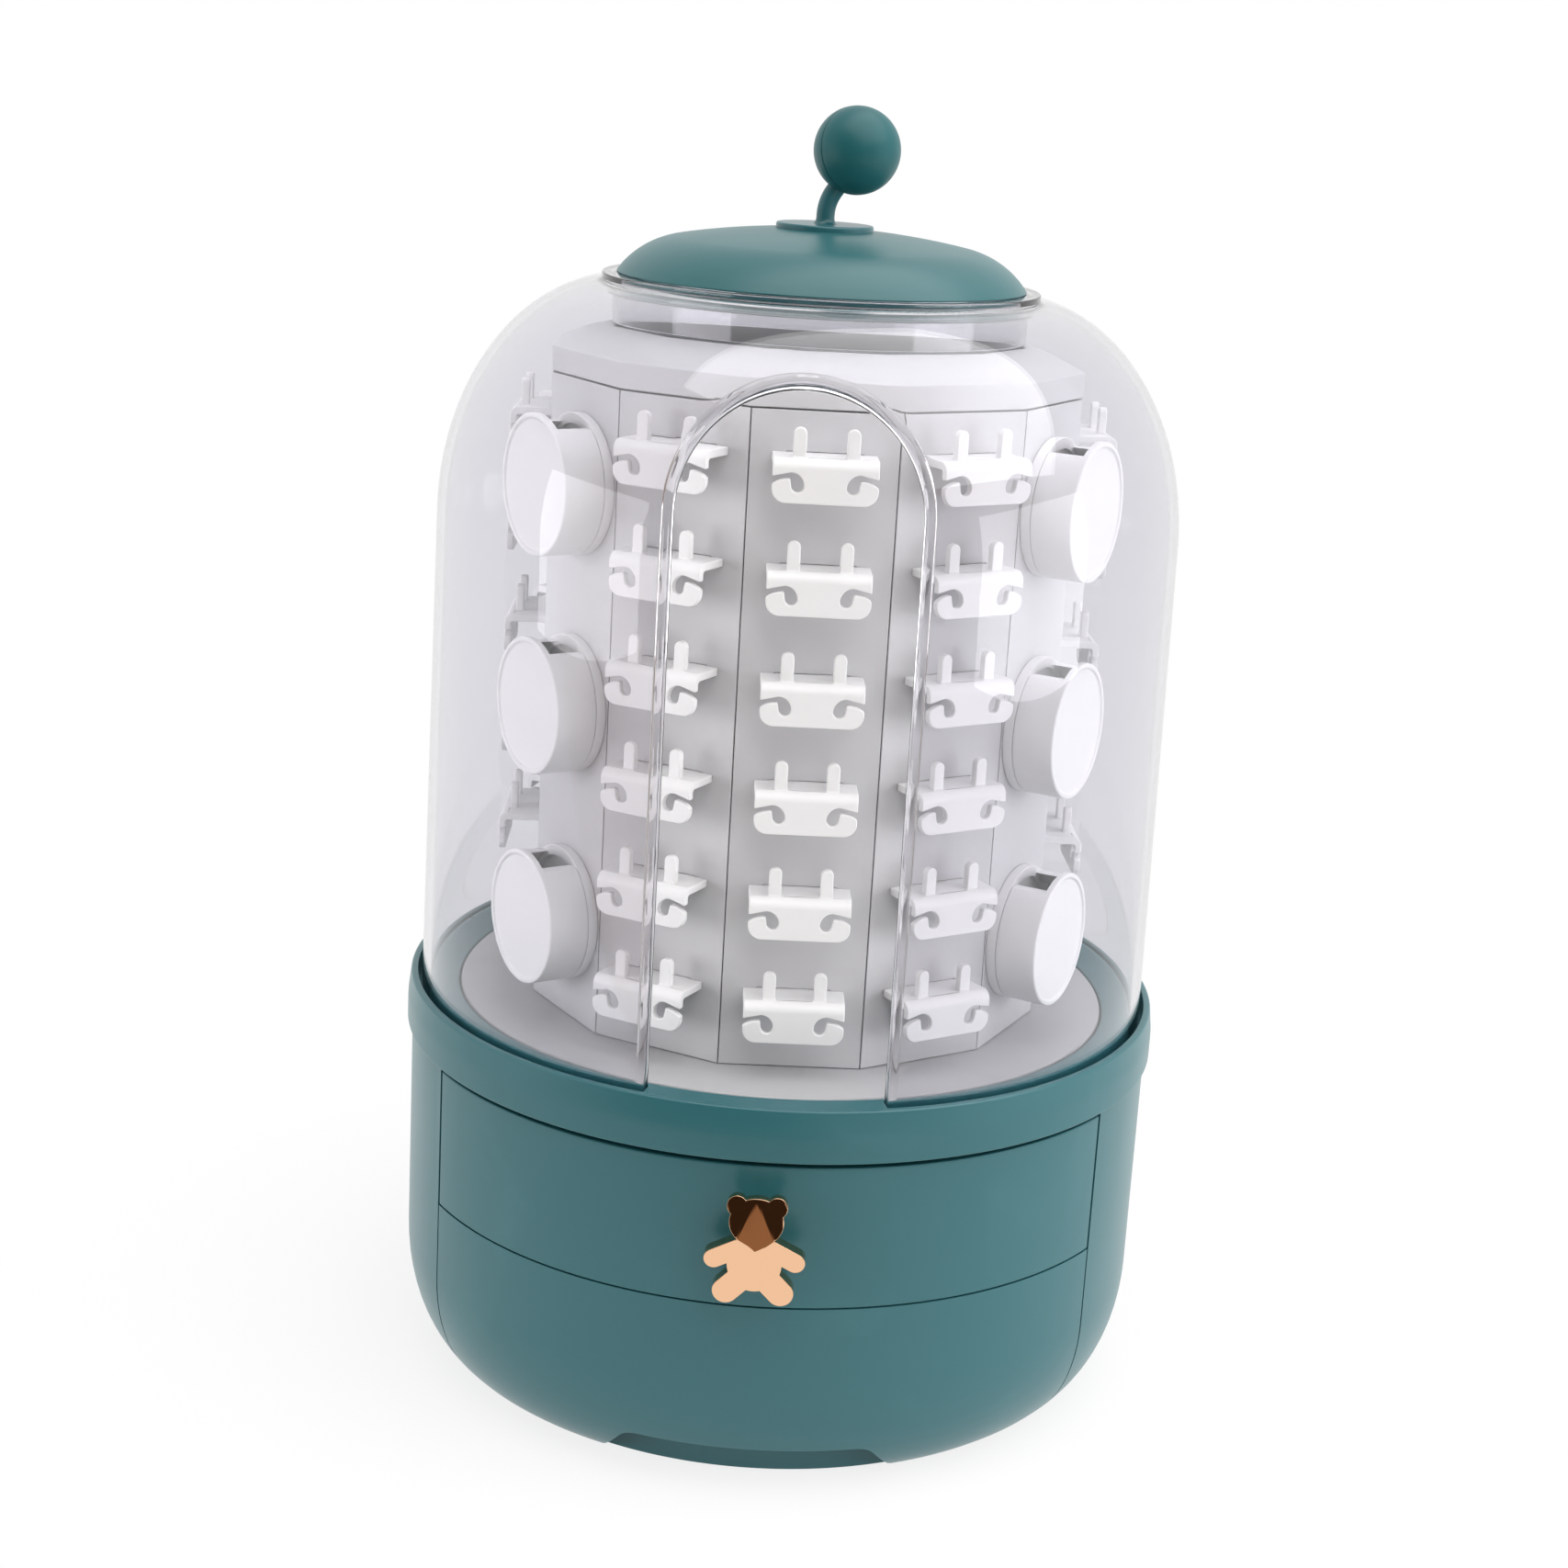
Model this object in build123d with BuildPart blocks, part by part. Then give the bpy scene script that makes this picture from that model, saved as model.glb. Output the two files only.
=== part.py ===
import os
from math import asin, atan2, cos, degrees, dist, radians, sin, sqrt, tan

from build123d import *

os.makedirs("parts", exist_ok=True)

# All sizes are in millimetres. The object stands on Z = 0 around the Z axis, and its front faces -Y.

# Base body: a round tub with a rounded lower edge
body_radius = 100.5
body_wall = 2.8
body_height = 91.0  # from the underside to the seam under the ring
edge_width = 16.7  # how far the rounded lower edge draws in
edge_height = 31.0  # how far up the wall that edge reaches
pad_lift = 1.5  # how far the rubber pad holds the tub off the table
pad_radius = body_radius - edge_width - 19.8
pad_recess = 0.8

# The two drawers share one window in the front of the tub
window_half_angle = 58.0
drawer_split = 52.3  # from the underside to the seam between the drawers
front_wall = 3.0
side_seam = 0.35  # degrees left free at each end of a drawer front
split_seam = 0.3
top_seam = 1.4
window_floor_radius = body_radius - edge_width - 6.1
lip_seam = 0.5
notch_height = 11.5
notch_top_half = 30.8
notch_foot_half = 39.0
notch_corner = 3.0
notch_lip = 2.1  # the notch's back stands this far out from where the rounded edge starts
finger_wall = 1.9  # upright wall that closes the space behind the notch
finger_side = 1.0  # how far that wall reaches past the notch at each end
finger_rise = 5.0

# Drawer trays
tray_back = 48.0
tray_wall = 1.8
tray_corner = 8.0
tray_fit = 0.1
tray_headroom = 5.0
partition_clearance = 2.15  # between the middle partitions and the heads of the front's screws
partition_wall = 1.5
partition_height = 26.0
drawer_gap = 0.6

# Frame inside the tub that carries the trays and the ring
frame_wall = 2.5
frame_plate = 3.0
shelf_plate = 2.0
frame_front = -41.0
frame_fit = 0.1
boss_radius = 3.2
boss_offset = 15.0

# Fasteners
screw_radius = 1.5
screw_fit = 0.05
head_radius = 2.8
head_height = 1.6
head_fit = 0.1
screw_bite = 2.2
base_screw_x = body_radius - edge_width - 11.8
base_screw_y = 20.0
ring_screw_length = 9.0
front_screw_angle = 20.0
front_screw_drop = 12.0

# Drawer knob
knob_standoff = 4.5
knob_thickness = 5.0
knob_edge = 1.0
knob_shank = 3.2
knob_head = (6.6, 5.8)
knob_head_place = (0.0, 7.2)
knob_ear = 2.5
knob_ear_place = (4.8, 10.9)
knob_body = (6.6, 7.2)
knob_body_place = (0.0, -3.2)
knob_arm = 2.4
knob_shoulder = (4.0, 0.5)
knob_hand = (9.8, -2.4)
knob_leg = 3.2
knob_hip = (3.0, -7.0)
knob_foot = (6.6, -10.6)

# Ring on top of the tub, with the groove for the dome and the deck under the turntable
ring_radius = body_radius + 1.3
lip_radius = ring_radius - 0.8
ring_height = 13.5
ring_straight = 7.0
lip_round = 0.6
groove_outer = lip_radius - 1.8
groove_inner = groove_outer - 3.6
groove_depth = 6.5
groove_plate = 2.5
collar_rise = 0.4
collar_top_width = 0.8
collar_fall = 2.7
collar_wall = 2.3
recess_radius = groove_inner - 7.5
deck_wall = 2.5
deck_drop = 8.5
skirt_depth = 4.0
skirt_wall = 2.0
skirt_fit = 0.3
skirt_end = 2.0  # degrees that the skirt stays clear of each end of the window
hub_radius = 12.0
hub_height = 2.0

# Turntable
disc_gap = 0.5
disc_thickness = 3.5
disc_drop = 2.1
disc_edge_round = 0.5
spindle_radius = 5.0
running_gap = 0.05
turning_gap = 0.1
glide_inset = 6.0  # from the face of the drum's panels to the glide ring
glide_width = 4.0
glide_groove = 0.5
spindle_flange = 9.0
spindle_flange_height = 3.0
washer_height = 1.0
spindle_head = 4.0
spindle_screw_length = 8.0

# Drum of twelve panels around a hollow core
drum_turn = 4.0  # degrees that the drum stands turned at rest
side_count = 12
panel_apothem = groove_inner - 28.6
panel_wall = 2.0
panel_height = 164.6
panel_seam = 0.3
seat_gap = 0.2
glue_gap = 0.05
core_wall = 2.0
core_flange_width = 9.0
core_flange = 2.5
core_screw_count = 4
cap_seam = 0.4
cap_band = 6.2
cap_step_apothem = panel_apothem - 6.0
cap_step_rise = 3.1
cap_mouth_apothem = panel_apothem - 13.4
cap_mouth_rise = 2.5
cap_wall = 2.0
cap_lip_wall = 1.7
cap_lip_depth = 15.0
cap_skirt_depth = 7.0
cap_fit = 0.15

# Hooks, as many on each of nine panels as its height takes (six)
hook_pitch = 26.85
hook_drop = 9.8  # from the top of the panels to the top of the first hook's shelf
hook_width = 25.0
hook_reach = 10.9
hook_shelf = 2.0
hook_plate = 1.8
hook_height = 10.6
hook_bend = 2.5
hook_corner = 3.3
tongue_width = 18.0
tongue_gap = 0.1
peg_width = 3.1
peg_depth = 2.0
peg_height = 6.9
peg_offset = 6.3
peg_set_back = 2.6
slot_reach = 6.5
slot_drop = 6.5
slot_end_radius = 1.5
slot_arch = 3.2
slot_throat = 1.5
slot_fall = 1.1
slot_lean = 0.3  # how far the side of a slot leans out towards its mouth
lobe_fall = 2.0
lobe_crest = 0.65  # share of the lobe's width at which it starts to fall
lobe_crest_fall = 0.25  # share of its fall by then
side_overrun = 0.5

# Round boxes, as many on each of three panels as its height takes (three)
box_pitch = 55.75
box_drop = 25.2  # from the top of the panels to the axis of the first box
box_radius = 17.5
box_reach = 13.4
box_wall = 1.6
box_face = 1.6
box_rim = 0.6
box_rim_width = 1.2
box_mouth_drop = 3.0
box_seam = 0.1
dish_depth = 2.7
dish_floor = 1.5
dish_spigot = 1.5
dish_spigot_wall = 1.0
dish_spigot_drop = 7.0
stub_radius = 4.0

# Clear dome with its doorway
dome_base_radius = groove_outer - 1.0
dome_radius = dome_base_radius - 1.4
dome_wall = 2.2
dome_seat_gap = 0.2
dome_straight = panel_height - 26.6  # from the seam under the ring to the start of the shoulder
shoulder_height = 62.0
neck_bore = 51.6
shoulder_width = dome_radius - neck_bore + 0.8
neck_tube_radius = neck_bore + 1.6
neck_tube_drop = 11.3
neck_collar_radius = neck_bore + 2.9
neck_collar_drop = 4.0
neck_rim_radius = neck_bore + 4.8
neck_rim_rise = 1.0
neck_rim_drop = 0.15
rim_round = 0.4
door_half_width = 29.4
door_height = dome_straight + 46.1  # from the seam under the ring to the top of the arch
bead_width = 2.2
bead_proud = 0.5
bead_gap = 0.9
sill_gap = 0.4

# Lid with its bent handle
lid_radius = neck_bore + 1.2
lid_height = 13.3
lid_wall = 2.0
lid_seat = 0.1
crown_radius = 200.0
crown_reach = 38.0
plug_depth = 5.0
plug_plate = 1.5
plug_wall = 3.4
plug_fit = 0.1
spigot_height = 3.0
seal_groove = 1.0
seal_height = 1.6
seal_rise = 1.7
seal_gap = 0.25
rest_radius = 12.5
rest_height = 1.5
rest_recess = 0.4
rest_round = 0.5
stem_radius = 2.35
stem_socket = 0.9
stem_rise = 2.0
stem_bend_radius = 11.4
stem_bend_angle = 35.0
stem_bite = 4.5
ball_radius = 11.1
ball_offset = 7.1
ball_lift = 18.6  # from the top of the handle's disc to the ball's centre
ball_seam = 0.15
ball_seam_turn = 36.0
ball_seam_tilt = 9.0
handle_screw_radius = 1.0
handle_screw_head = 2.0
handle_screw_bite = 3.0

# Levels and radii worked out from the sizes above
far = 2 * ring_radius
floor_top = pad_lift + body_wall
edge_top = pad_lift + edge_height
edge_centre = body_radius - edge_width
split_level = pad_lift + drawer_split
seam_level = pad_lift + body_height
ring_top = seam_level + ring_height
collar_top = ring_top + collar_rise
groove_floor = ring_top - groove_depth
deck_top = ring_top - deck_drop
deck_bottom = deck_top - deck_wall
disc_top = ring_top - disc_drop
disc_bottom = disc_top - disc_thickness
disc_radius = recess_radius - disc_gap
hub_top = deck_top + hub_height
glide_top = disc_bottom - turning_gap
glide_radius = panel_apothem - glide_inset
skirt_outer = body_radius - body_wall - skirt_fit
skirt_inner = skirt_outer - skirt_wall
washer_bottom = disc_top + turning_gap
washer_top = washer_bottom + washer_height

tray_bottom_share = (edge_top - floor_top - frame_plate - drawer_gap / 2) / (edge_height - body_wall)
tub_at_tray_bottom = edge_centre + (edge_width - body_wall) * sqrt(1 - tray_bottom_share**2)
tray_half_width = tub_at_tray_bottom * sin(radians(window_half_angle)) - drawer_gap
frame_half_width = tray_half_width + drawer_gap
frame_top = deck_bottom - frame_fit
frame_back = tray_back + drawer_gap + frame_wall
boss_x = frame_half_width + boss_radius
shelf_top = split_level + shelf_plate / 2
shelf_bottom = shelf_top - shelf_plate
tray_inset = front_wall + tray_fit
lower_tray_bottom = floor_top + frame_plate + drawer_gap / 2
lower_tray_top = shelf_bottom - 2 * drawer_gap
upper_tray_bottom = shelf_top + drawer_gap / 2
upper_tray_top = deck_bottom - tray_headroom
knob_level = (split_level + seam_level) / 2
notch_back = edge_centre + notch_lip
pocket_radius = notch_back - finger_wall - tray_fit
tray_face = body_radius - tray_inset - tray_wall
partition_reach = head_radius + partition_clearance + partition_wall / 2
partition_offset = tray_face * sin(radians(front_screw_angle)) - partition_reach
lip_inner = window_floor_radius + lip_seam

core_apothem = panel_apothem - panel_wall - glue_gap
core_inside = core_apothem - core_wall
core_screw_circle = core_inside - core_flange_width / 2
core_flange_top = disc_top + core_flange
panel_bottom = disc_top + seat_gap
panel_top = panel_bottom + panel_height
band_bottom = panel_top + cap_seam
band_top = band_bottom + cap_band
step_level = band_top + cap_step_rise
mouth_level = step_level + cap_mouth_rise
cap_roof = band_top - cap_wall / 2
core_top = cap_roof - glue_gap
tongue_apothem = panel_apothem - panel_wall + glue_gap
hook_rows = 1 + int((panel_height - hook_drop - hook_height) // hook_pitch)
box_rows = 1 + int((panel_height - box_drop - box_radius) // box_pitch)
hook_levels = [panel_top - hook_drop - hook_pitch * row for row in range(hook_rows)]
box_levels = [panel_top - box_drop - box_pitch * row for row in range(box_rows)]
box_columns = [3, 7, 11]
hook_columns = [n for n in range(1, side_count + 1) if n not in box_columns]

dome_bottom = groove_floor + dome_seat_gap
shoulder_level = seam_level + dome_straight
dome_top = shoulder_level + shoulder_height
rim_top = dome_top + neck_rim_rise
door_apex = seam_level + door_height
bead_bottom = ring_top + bead_gap

lid_bottom = rim_top + lid_seat
lid_top = lid_bottom + lid_height
plug_radius = lid_radius - lid_wall - plug_fit
plug_bottom = lid_bottom - plug_depth
rest_bottom = lid_top - rest_recess
rest_top = rest_bottom + rest_height
stem_bottom = rest_bottom + rest_height - stem_socket
stem_bend = rest_top + stem_rise
ball_level = rest_top + ball_lift


def tub_form(inset, high):
    # solid form of the tub up to the level high, drawn in by inset on every side
    with BuildPart(mode=Mode.PRIVATE) as form:
        with BuildSketch(Plane.XZ):
            with BuildLine():
                low = pad_lift + inset
                edge = EllipticalCenterArc(
                    (edge_centre, edge_top),
                    edge_width - inset,
                    edge_height - inset,
                    start_angle=270,
                    arc_size=90,
                )
                Polyline(edge @ 1, (body_radius - inset, high), (0, high), (0, low), edge @ 0)
            make_face()
        revolve(axis=Axis.Z)
    return form.part


def front_sector(inner, outer, half_angle, low, high):
    # the slice of a ring that faces the front
    with BuildPart(mode=Mode.PRIVATE) as form:
        with BuildSketch(Plane.XY.offset(low)):
            with BuildLine():
                outside = CenterArc((0, 0), outer, -90 - half_angle, 2 * half_angle)
                inside = CenterArc((0, 0), inner, -90 - half_angle, 2 * half_angle)
                Line(outside @ 0, inside @ 0)
                Line(outside @ 1, inside @ 1)
            make_face()
        extrude(amount=high - low)
    return form.part


def tray_form(inset, half_width, back, corner, low, high):
    # the tub's form cut to a tray's width, depth and height
    with BuildPart(mode=Mode.PRIVATE) as form:
        add(tub_form(inset, high))
        with BuildSketch(Plane.XY.offset(low)):
            with Locations((0, (back - far) / 2)):
                RectangleRounded(2 * half_width, back + far, corner)
        extrude(amount=high - low, mode=Mode.INTERSECT)
    return form.part


def finger_block(radius, side, high):
    # the space outside a radius that a fingertip reaches into through the notch
    with BuildPart(mode=Mode.PRIVATE) as form:
        with BuildSketch(Plane.XY):
            with Locations((0, -far)):
                Rectangle(2 * (notch_foot_half + side), 2 * far)
            Circle(radius, mode=Mode.SUBTRACT)
        extrude(amount=pad_lift + notch_height + finger_rise + high)
    return form.part


def round_bar(radius, low, high):
    with BuildPart(mode=Mode.PRIVATE) as form:
        with BuildSketch(Plane.XY.offset(low)):
            Circle(radius)
        extrude(amount=high - low)
    return form.part


def drum_prism(apothem, low, high):
    with BuildPart(mode=Mode.PRIVATE) as form:
        with BuildSketch(Plane.XY.offset(low)):
            RegularPolygon(apothem, side_count, major_radius=False, rotation=drum_turn + 180 / side_count)
        extrude(amount=high - low)
    return form.part


def drum_slope(low_apothem, low, high_apothem, high):
    turn = drum_turn + 180 / side_count
    with BuildPart(mode=Mode.PRIVATE) as form:
        with BuildSketch(Plane.XY.offset(low)):
            RegularPolygon(low_apothem, side_count, major_radius=False, rotation=turn)
        with BuildSketch(Plane.XY.offset(high)):
            RegularPolygon(high_apothem, side_count, major_radius=False, rotation=turn)
        loft(ruled=True)
    return form.part


def dome_wall_radius(level):
    share = (level - dome_bottom) / (shoulder_level - dome_bottom)
    return dome_base_radius + (dome_radius - dome_base_radius) * share


def dome_form(inset, low):
    # solid form of the dome from the level low upwards, drawn in by inset
    with BuildPart(mode=Mode.PRIVATE) as form:
        with BuildSketch(Plane.XZ):
            with BuildLine():
                shoulder = EllipticalCenterArc(
                    (dome_radius - shoulder_width, shoulder_level),
                    shoulder_width - inset,
                    shoulder_height - inset,
                    start_angle=0,
                    arc_size=90,
                )
                foot = (dome_wall_radius(low) - inset, low)
                Polyline(shoulder @ 1, (0, dome_top - inset), (0, low), foot, shoulder @ 0)
            make_face()
        revolve(axis=Axis.Z)
    return form.part


def door_block(grow, low):
    # the arched doorway as a block from the axis out to the front
    half = door_half_width + grow
    apex = door_apex + grow
    with BuildPart(mode=Mode.PRIVATE) as form:
        with BuildSketch(Plane.XZ):
            with BuildLine():
                arch = ThreePointArc((-half, apex - half), (0, apex), (half, apex - half))
                Polyline(arch @ 1, (half, low), (-half, low), arch @ 0)
            make_face()
        extrude(amount=far)
    return form.part


def lid_form(inset):
    # solid form of the lid's crown, drawn in by inset
    lean = asin(crown_reach / crown_radius)
    radius = crown_radius - inset
    centre = lid_top - crown_radius
    with BuildPart(mode=Mode.PRIVATE) as form:
        with BuildSketch(Plane.XZ):
            with BuildLine():
                crown = ThreePointArc(
                    (0, centre + radius),
                    (radius * sin(lean / 2), centre + radius * cos(lean / 2)),
                    (radius * sin(lean), centre + radius * cos(lean)),
                )
                shoulder = TangentArc(
                    crown @ 1, (lid_radius - inset, lid_bottom), tangent=(cos(lean), -sin(lean))
                )
                Polyline(shoulder @ 1, (0, lid_bottom), crown @ 0)
            make_face()
        revolve(axis=Axis.Z)
    return form.part


def stem_form(radius, bite):
    # the bent rod of the handle, with its end the length bite inside the ball
    bend = radians(stem_bend_angle)
    with BuildPart(mode=Mode.PRIVATE) as form:
        with BuildLine(Plane.XZ):
            rise = Line((0, stem_bottom), (0, stem_bend))
            turn = TangentArc(
                rise @ 1,
                (stem_bend_radius * (1 - cos(bend)), stem_bend + stem_bend_radius * sin(bend)),
                tangent=(0, 1),
            )
            Line(turn @ 1, (turn @ 1) + (turn % 1) * bite)
        with BuildSketch(Plane.XY.offset(stem_bottom)):
            Circle(radius)
        sweep()
    return form.part


def pan_screw(radius, length, head):
    # head above Z = 0, shank below it
    with BuildPart(mode=Mode.PRIVATE) as form:
        with BuildSketch():
            Circle(head)
        extrude(amount=head_height)
        fillet(form.faces().sort_by(Axis.Z)[-1].edges(), head_height / 2)
        with BuildSketch():
            Circle(radius)
        extrude(amount=-length)
    return form.part


def wall_plane(angle, distance, level):
    # upright plane that faces outwards; its X runs along the wall and its Y is up
    turn = radians(angle)
    outward = Vector(sin(turn), -cos(turn), 0)
    along = Vector(cos(turn), sin(turn), 0)
    return Plane(origin=outward * distance + Vector(0, 0, level), x_dir=along, z_dir=outward)


def inward_plane(angle, distance, level):
    # the same place, facing the axis
    place = wall_plane(angle, distance, level)
    return Plane(origin=place.origin, x_dir=place.x_dir, z_dir=-place.z_dir)


def panel_angle(number):
    # panel 1 is the one at the front, and the numbers run towards +X
    return drum_turn + 360 / side_count * (number - 1)


# Where the fasteners sit
base_screw_places = [
    Plane(origin=(x, y, pad_lift + head_height + head_fit), x_dir=(1, 0, 0), z_dir=(0, 0, -1))
    for x in (-base_screw_x, base_screw_x)
    for y in (-base_screw_y, base_screw_y)
]
base_screw_length = floor_top + screw_bite - pad_lift - head_height - head_fit
boss_places = [(x, y) for x in (-boss_x, boss_x) for y in (-boss_offset, boss_offset)]
front_screw_length = tray_wall + tray_fit + screw_bite
front_screw_radius = tray_face - head_fit


def front_screw_places(level):
    return [
        inward_plane(angle, front_screw_radius, level)
        for angle in (-front_screw_angle, front_screw_angle)
    ]


upper_screw_places = front_screw_places(knob_level)
lower_screw_places = front_screw_places(split_level - front_screw_drop)
knob_screw_place = inward_plane(0, front_screw_radius, knob_level)
knob_screw_length = tray_wall + front_wall + tray_fit + knob_standoff + screw_bite

# Tub
with BuildPart() as base_shell:
    add(tub_form(0, seam_level))
    add(tub_form(body_wall, seam_level + body_wall), mode=Mode.SUBTRACT)
    add(front_sector(window_floor_radius, far, window_half_angle, 0, seam_level), mode=Mode.SUBTRACT)
    add(round_bar(pad_radius + frame_fit, 0, pad_lift + pad_recess), mode=Mode.SUBTRACT)
    with Locations(*[Location((place.origin.X, place.origin.Y, 0)) for place in base_screw_places]):
        add(round_bar(head_radius + head_fit, 0, pad_lift + head_height + head_fit), mode=Mode.SUBTRACT)
        add(round_bar(screw_radius + screw_fit, 0, floor_top), mode=Mode.SUBTRACT)
base_shell.part.label = "base_shell"
export_step(base_shell.part, "parts/base_shell.step")

with BuildPart() as base_pad:
    add(round_bar(pad_radius, 0, pad_lift + pad_recess - glue_gap))
base_pad.part.label = "base_pad"
export_step(base_pad.part, "parts/base_pad.step")

with BuildPart() as base_screws:
    with Locations(*base_screw_places):
        add(pan_screw(screw_radius, base_screw_length, head_radius))
base_screws.part.label = "base_screws"
export_step(base_screws.part, "parts/base_screws.step")

# Frame: floor plate, shelf, two side plates and a rear wall around the trays
with BuildPart() as drawer_frame:
    outer_half = frame_half_width + frame_wall
    with BuildSketch(Plane.XY.offset(floor_top)):
        with Locations((0, (frame_front + frame_back) / 2)):
            Rectangle(2 * outer_half, frame_back - frame_front)
    extrude(amount=frame_top - floor_top)
    for low, high in ((floor_top + frame_plate, shelf_bottom), (shelf_top, frame_top)):
        with BuildSketch(Plane.XY.offset(low)):
            with Locations((0, (frame_front - far + frame_back - frame_wall) / 2)):
                Rectangle(2 * frame_half_width, frame_back - frame_wall + far - frame_front)
        extrude(amount=high - low, mode=Mode.SUBTRACT)
    with BuildSketch(Plane.XY.offset(floor_top)):
        with Locations(*boss_places):
            Circle(boss_radius)
    extrude(amount=frame_top - floor_top)
    with BuildSketch(Plane.XY.offset(frame_top)):
        with Locations(*boss_places):
            Circle(screw_radius + screw_fit)
    extrude(amount=-ring_screw_length, mode=Mode.SUBTRACT)
    with Locations(*[Location((place.origin.X, place.origin.Y, 0)) for place in base_screw_places]):
        add(round_bar(screw_radius + screw_fit, 0, floor_top + screw_bite + screw_fit), mode=Mode.SUBTRACT)
    add(tub_form(body_wall + frame_fit, frame_top), mode=Mode.INTERSECT)
    add(round_bar(skirt_inner - frame_fit, 0, frame_top), mode=Mode.INTERSECT)
drawer_frame.part.label = "drawer_frame"
export_step(drawer_frame.part, "parts/drawer_frame.step")

# Ring with its deck
def collar_surface(radius):
    rim = groove_inner - collar_top_width
    return collar_top - collar_fall * (rim - radius) / (rim - recess_radius)


def sill_form():
    # closes the groove across the doorway
    with BuildPart(mode=Mode.PRIVATE) as form:
        with BuildSketch(Plane.XZ):
            with BuildLine():
                Polyline(
                    (groove_inner - collar_top_width / 2, groove_floor),
                    (groove_outer + collar_top_width / 2, groove_floor),
                    (groove_outer + collar_top_width / 2, ring_top),
                    (groove_inner - collar_top_width / 2, collar_top),
                    close=True,
                )
            make_face()
        revolve(axis=Axis.Z)
        with BuildSketch(Plane.XZ):
            with Locations((0, groove_floor)):
                Rectangle(2 * (door_half_width - sill_gap), 2 * ring_height)
        extrude(amount=far, mode=Mode.INTERSECT)
    return form.part


with BuildPart() as top_ring:
    with BuildSketch(Plane.XZ):
        with BuildLine():
            channel_inner = recess_radius + collar_wall
            channel_outer = groove_inner - collar_wall
            Polyline(
                (recess_radius, deck_top),
                (recess_radius, collar_surface(recess_radius)),
                (groove_inner - collar_top_width, collar_top),
                (groove_inner, collar_top),
                (groove_inner, groove_floor),
                (groove_outer, groove_floor),
                (groove_outer, ring_top),
                (lip_radius - lip_round, ring_top),
                (lip_radius, ring_top - lip_round),
                (ring_radius, seam_level + ring_straight),
                (ring_radius, seam_level),
                (skirt_outer, seam_level),
                (skirt_outer, seam_level - skirt_depth),
                (skirt_inner, seam_level - skirt_depth),
                (skirt_inner, groove_floor - groove_plate),
                (channel_outer, groove_floor - groove_plate),
                (channel_outer, collar_surface(channel_outer) - collar_wall),
                (channel_inner, collar_surface(channel_inner) - collar_wall),
                (channel_inner, deck_bottom),
                (spindle_radius + running_gap, deck_bottom),
                (spindle_radius + running_gap, hub_top),
                (hub_radius, hub_top),
                (hub_radius, deck_top),
                close=True,
            )
        make_face()
    revolve(axis=Axis.Z)
    add(
        front_sector(
            skirt_inner - skirt_fit,
            skirt_outer + skirt_fit,
            window_half_angle + skirt_end,
            seam_level - skirt_depth,
            seam_level,
        ),
        mode=Mode.SUBTRACT,
    )
    with BuildSketch(Plane.XY.offset(deck_top)):
        Circle(glide_radius + glide_width + glue_gap)
        Circle(glide_radius - glue_gap, mode=Mode.SUBTRACT)
    extrude(amount=-glide_groove, mode=Mode.SUBTRACT)
    with BuildSketch(Plane.XY.offset(deck_bottom)):
        with Locations(*boss_places):
            Circle(screw_radius + screw_fit)
    extrude(amount=deck_wall, mode=Mode.SUBTRACT)
    add(sill_form())
top_ring.part.label = "top_ring"
export_step(top_ring.part, "parts/top_ring.step")

with BuildPart() as ring_screws:
    with Locations(*[Location((x, y, deck_top)) for x, y in boss_places]):
        add(pan_screw(screw_radius, ring_screw_length, head_radius))
ring_screws.part.label = "ring_screws"
export_step(ring_screws.part, "parts/ring_screws.step")

# Turntable bearing
with BuildPart() as spindle:
    add(round_bar(spindle_flange, deck_bottom - spindle_flange_height, deck_bottom))
    add(round_bar(spindle_radius, deck_bottom, washer_bottom))
    with BuildSketch(Plane.XY.offset(washer_bottom)):
        Circle(screw_radius + screw_fit)
    extrude(amount=-spindle_screw_length, mode=Mode.SUBTRACT)
spindle.part.label = "spindle"
export_step(spindle.part, "parts/spindle.step")

with BuildPart() as spindle_washer:
    add(round_bar(spindle_flange, washer_bottom, washer_top))
    add(round_bar(screw_radius + screw_fit, washer_bottom, washer_top), mode=Mode.SUBTRACT)
spindle_washer.part.label = "spindle_washer"
export_step(spindle_washer.part, "parts/spindle_washer.step")

with BuildPart() as spindle_screw:
    with Locations((0, 0, washer_top)):
        add(pan_screw(screw_radius, spindle_screw_length, spindle_head))
spindle_screw.part.label = "spindle_screw"
export_step(spindle_screw.part, "parts/spindle_screw.step")

with BuildPart() as glide_ring:
    add(round_bar(glide_radius + glide_width, deck_top - glide_groove, glide_top))
    add(round_bar(glide_radius, deck_top - glide_groove, glide_top), mode=Mode.SUBTRACT)
glide_ring.part.label = "glide_ring"
export_step(glide_ring.part, "parts/glide_ring.step")


# Drawers
def front_form(low, high):
    # a piece of the tub's wall that closes the window between two levels
    with BuildPart(mode=Mode.PRIVATE) as form:
        add(front_sector(lip_inner, far, window_half_angle - side_seam, low, high))
        add(tub_form(0, seam_level), mode=Mode.INTERSECT)
        add(tub_form(front_wall, seam_level), mode=Mode.SUBTRACT)
    return form.part


def tray_outside(low, high):
    return tray_form(tray_inset, tray_half_width, tray_back, tray_corner, low, high)


def tray_hollow(low, high):
    return tray_form(
        tray_inset + tray_wall,
        tray_half_width - tray_wall,
        tray_back - tray_wall,
        tray_corner - tray_wall,
        low + tray_wall,
        high + tray_wall,
    )


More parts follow.
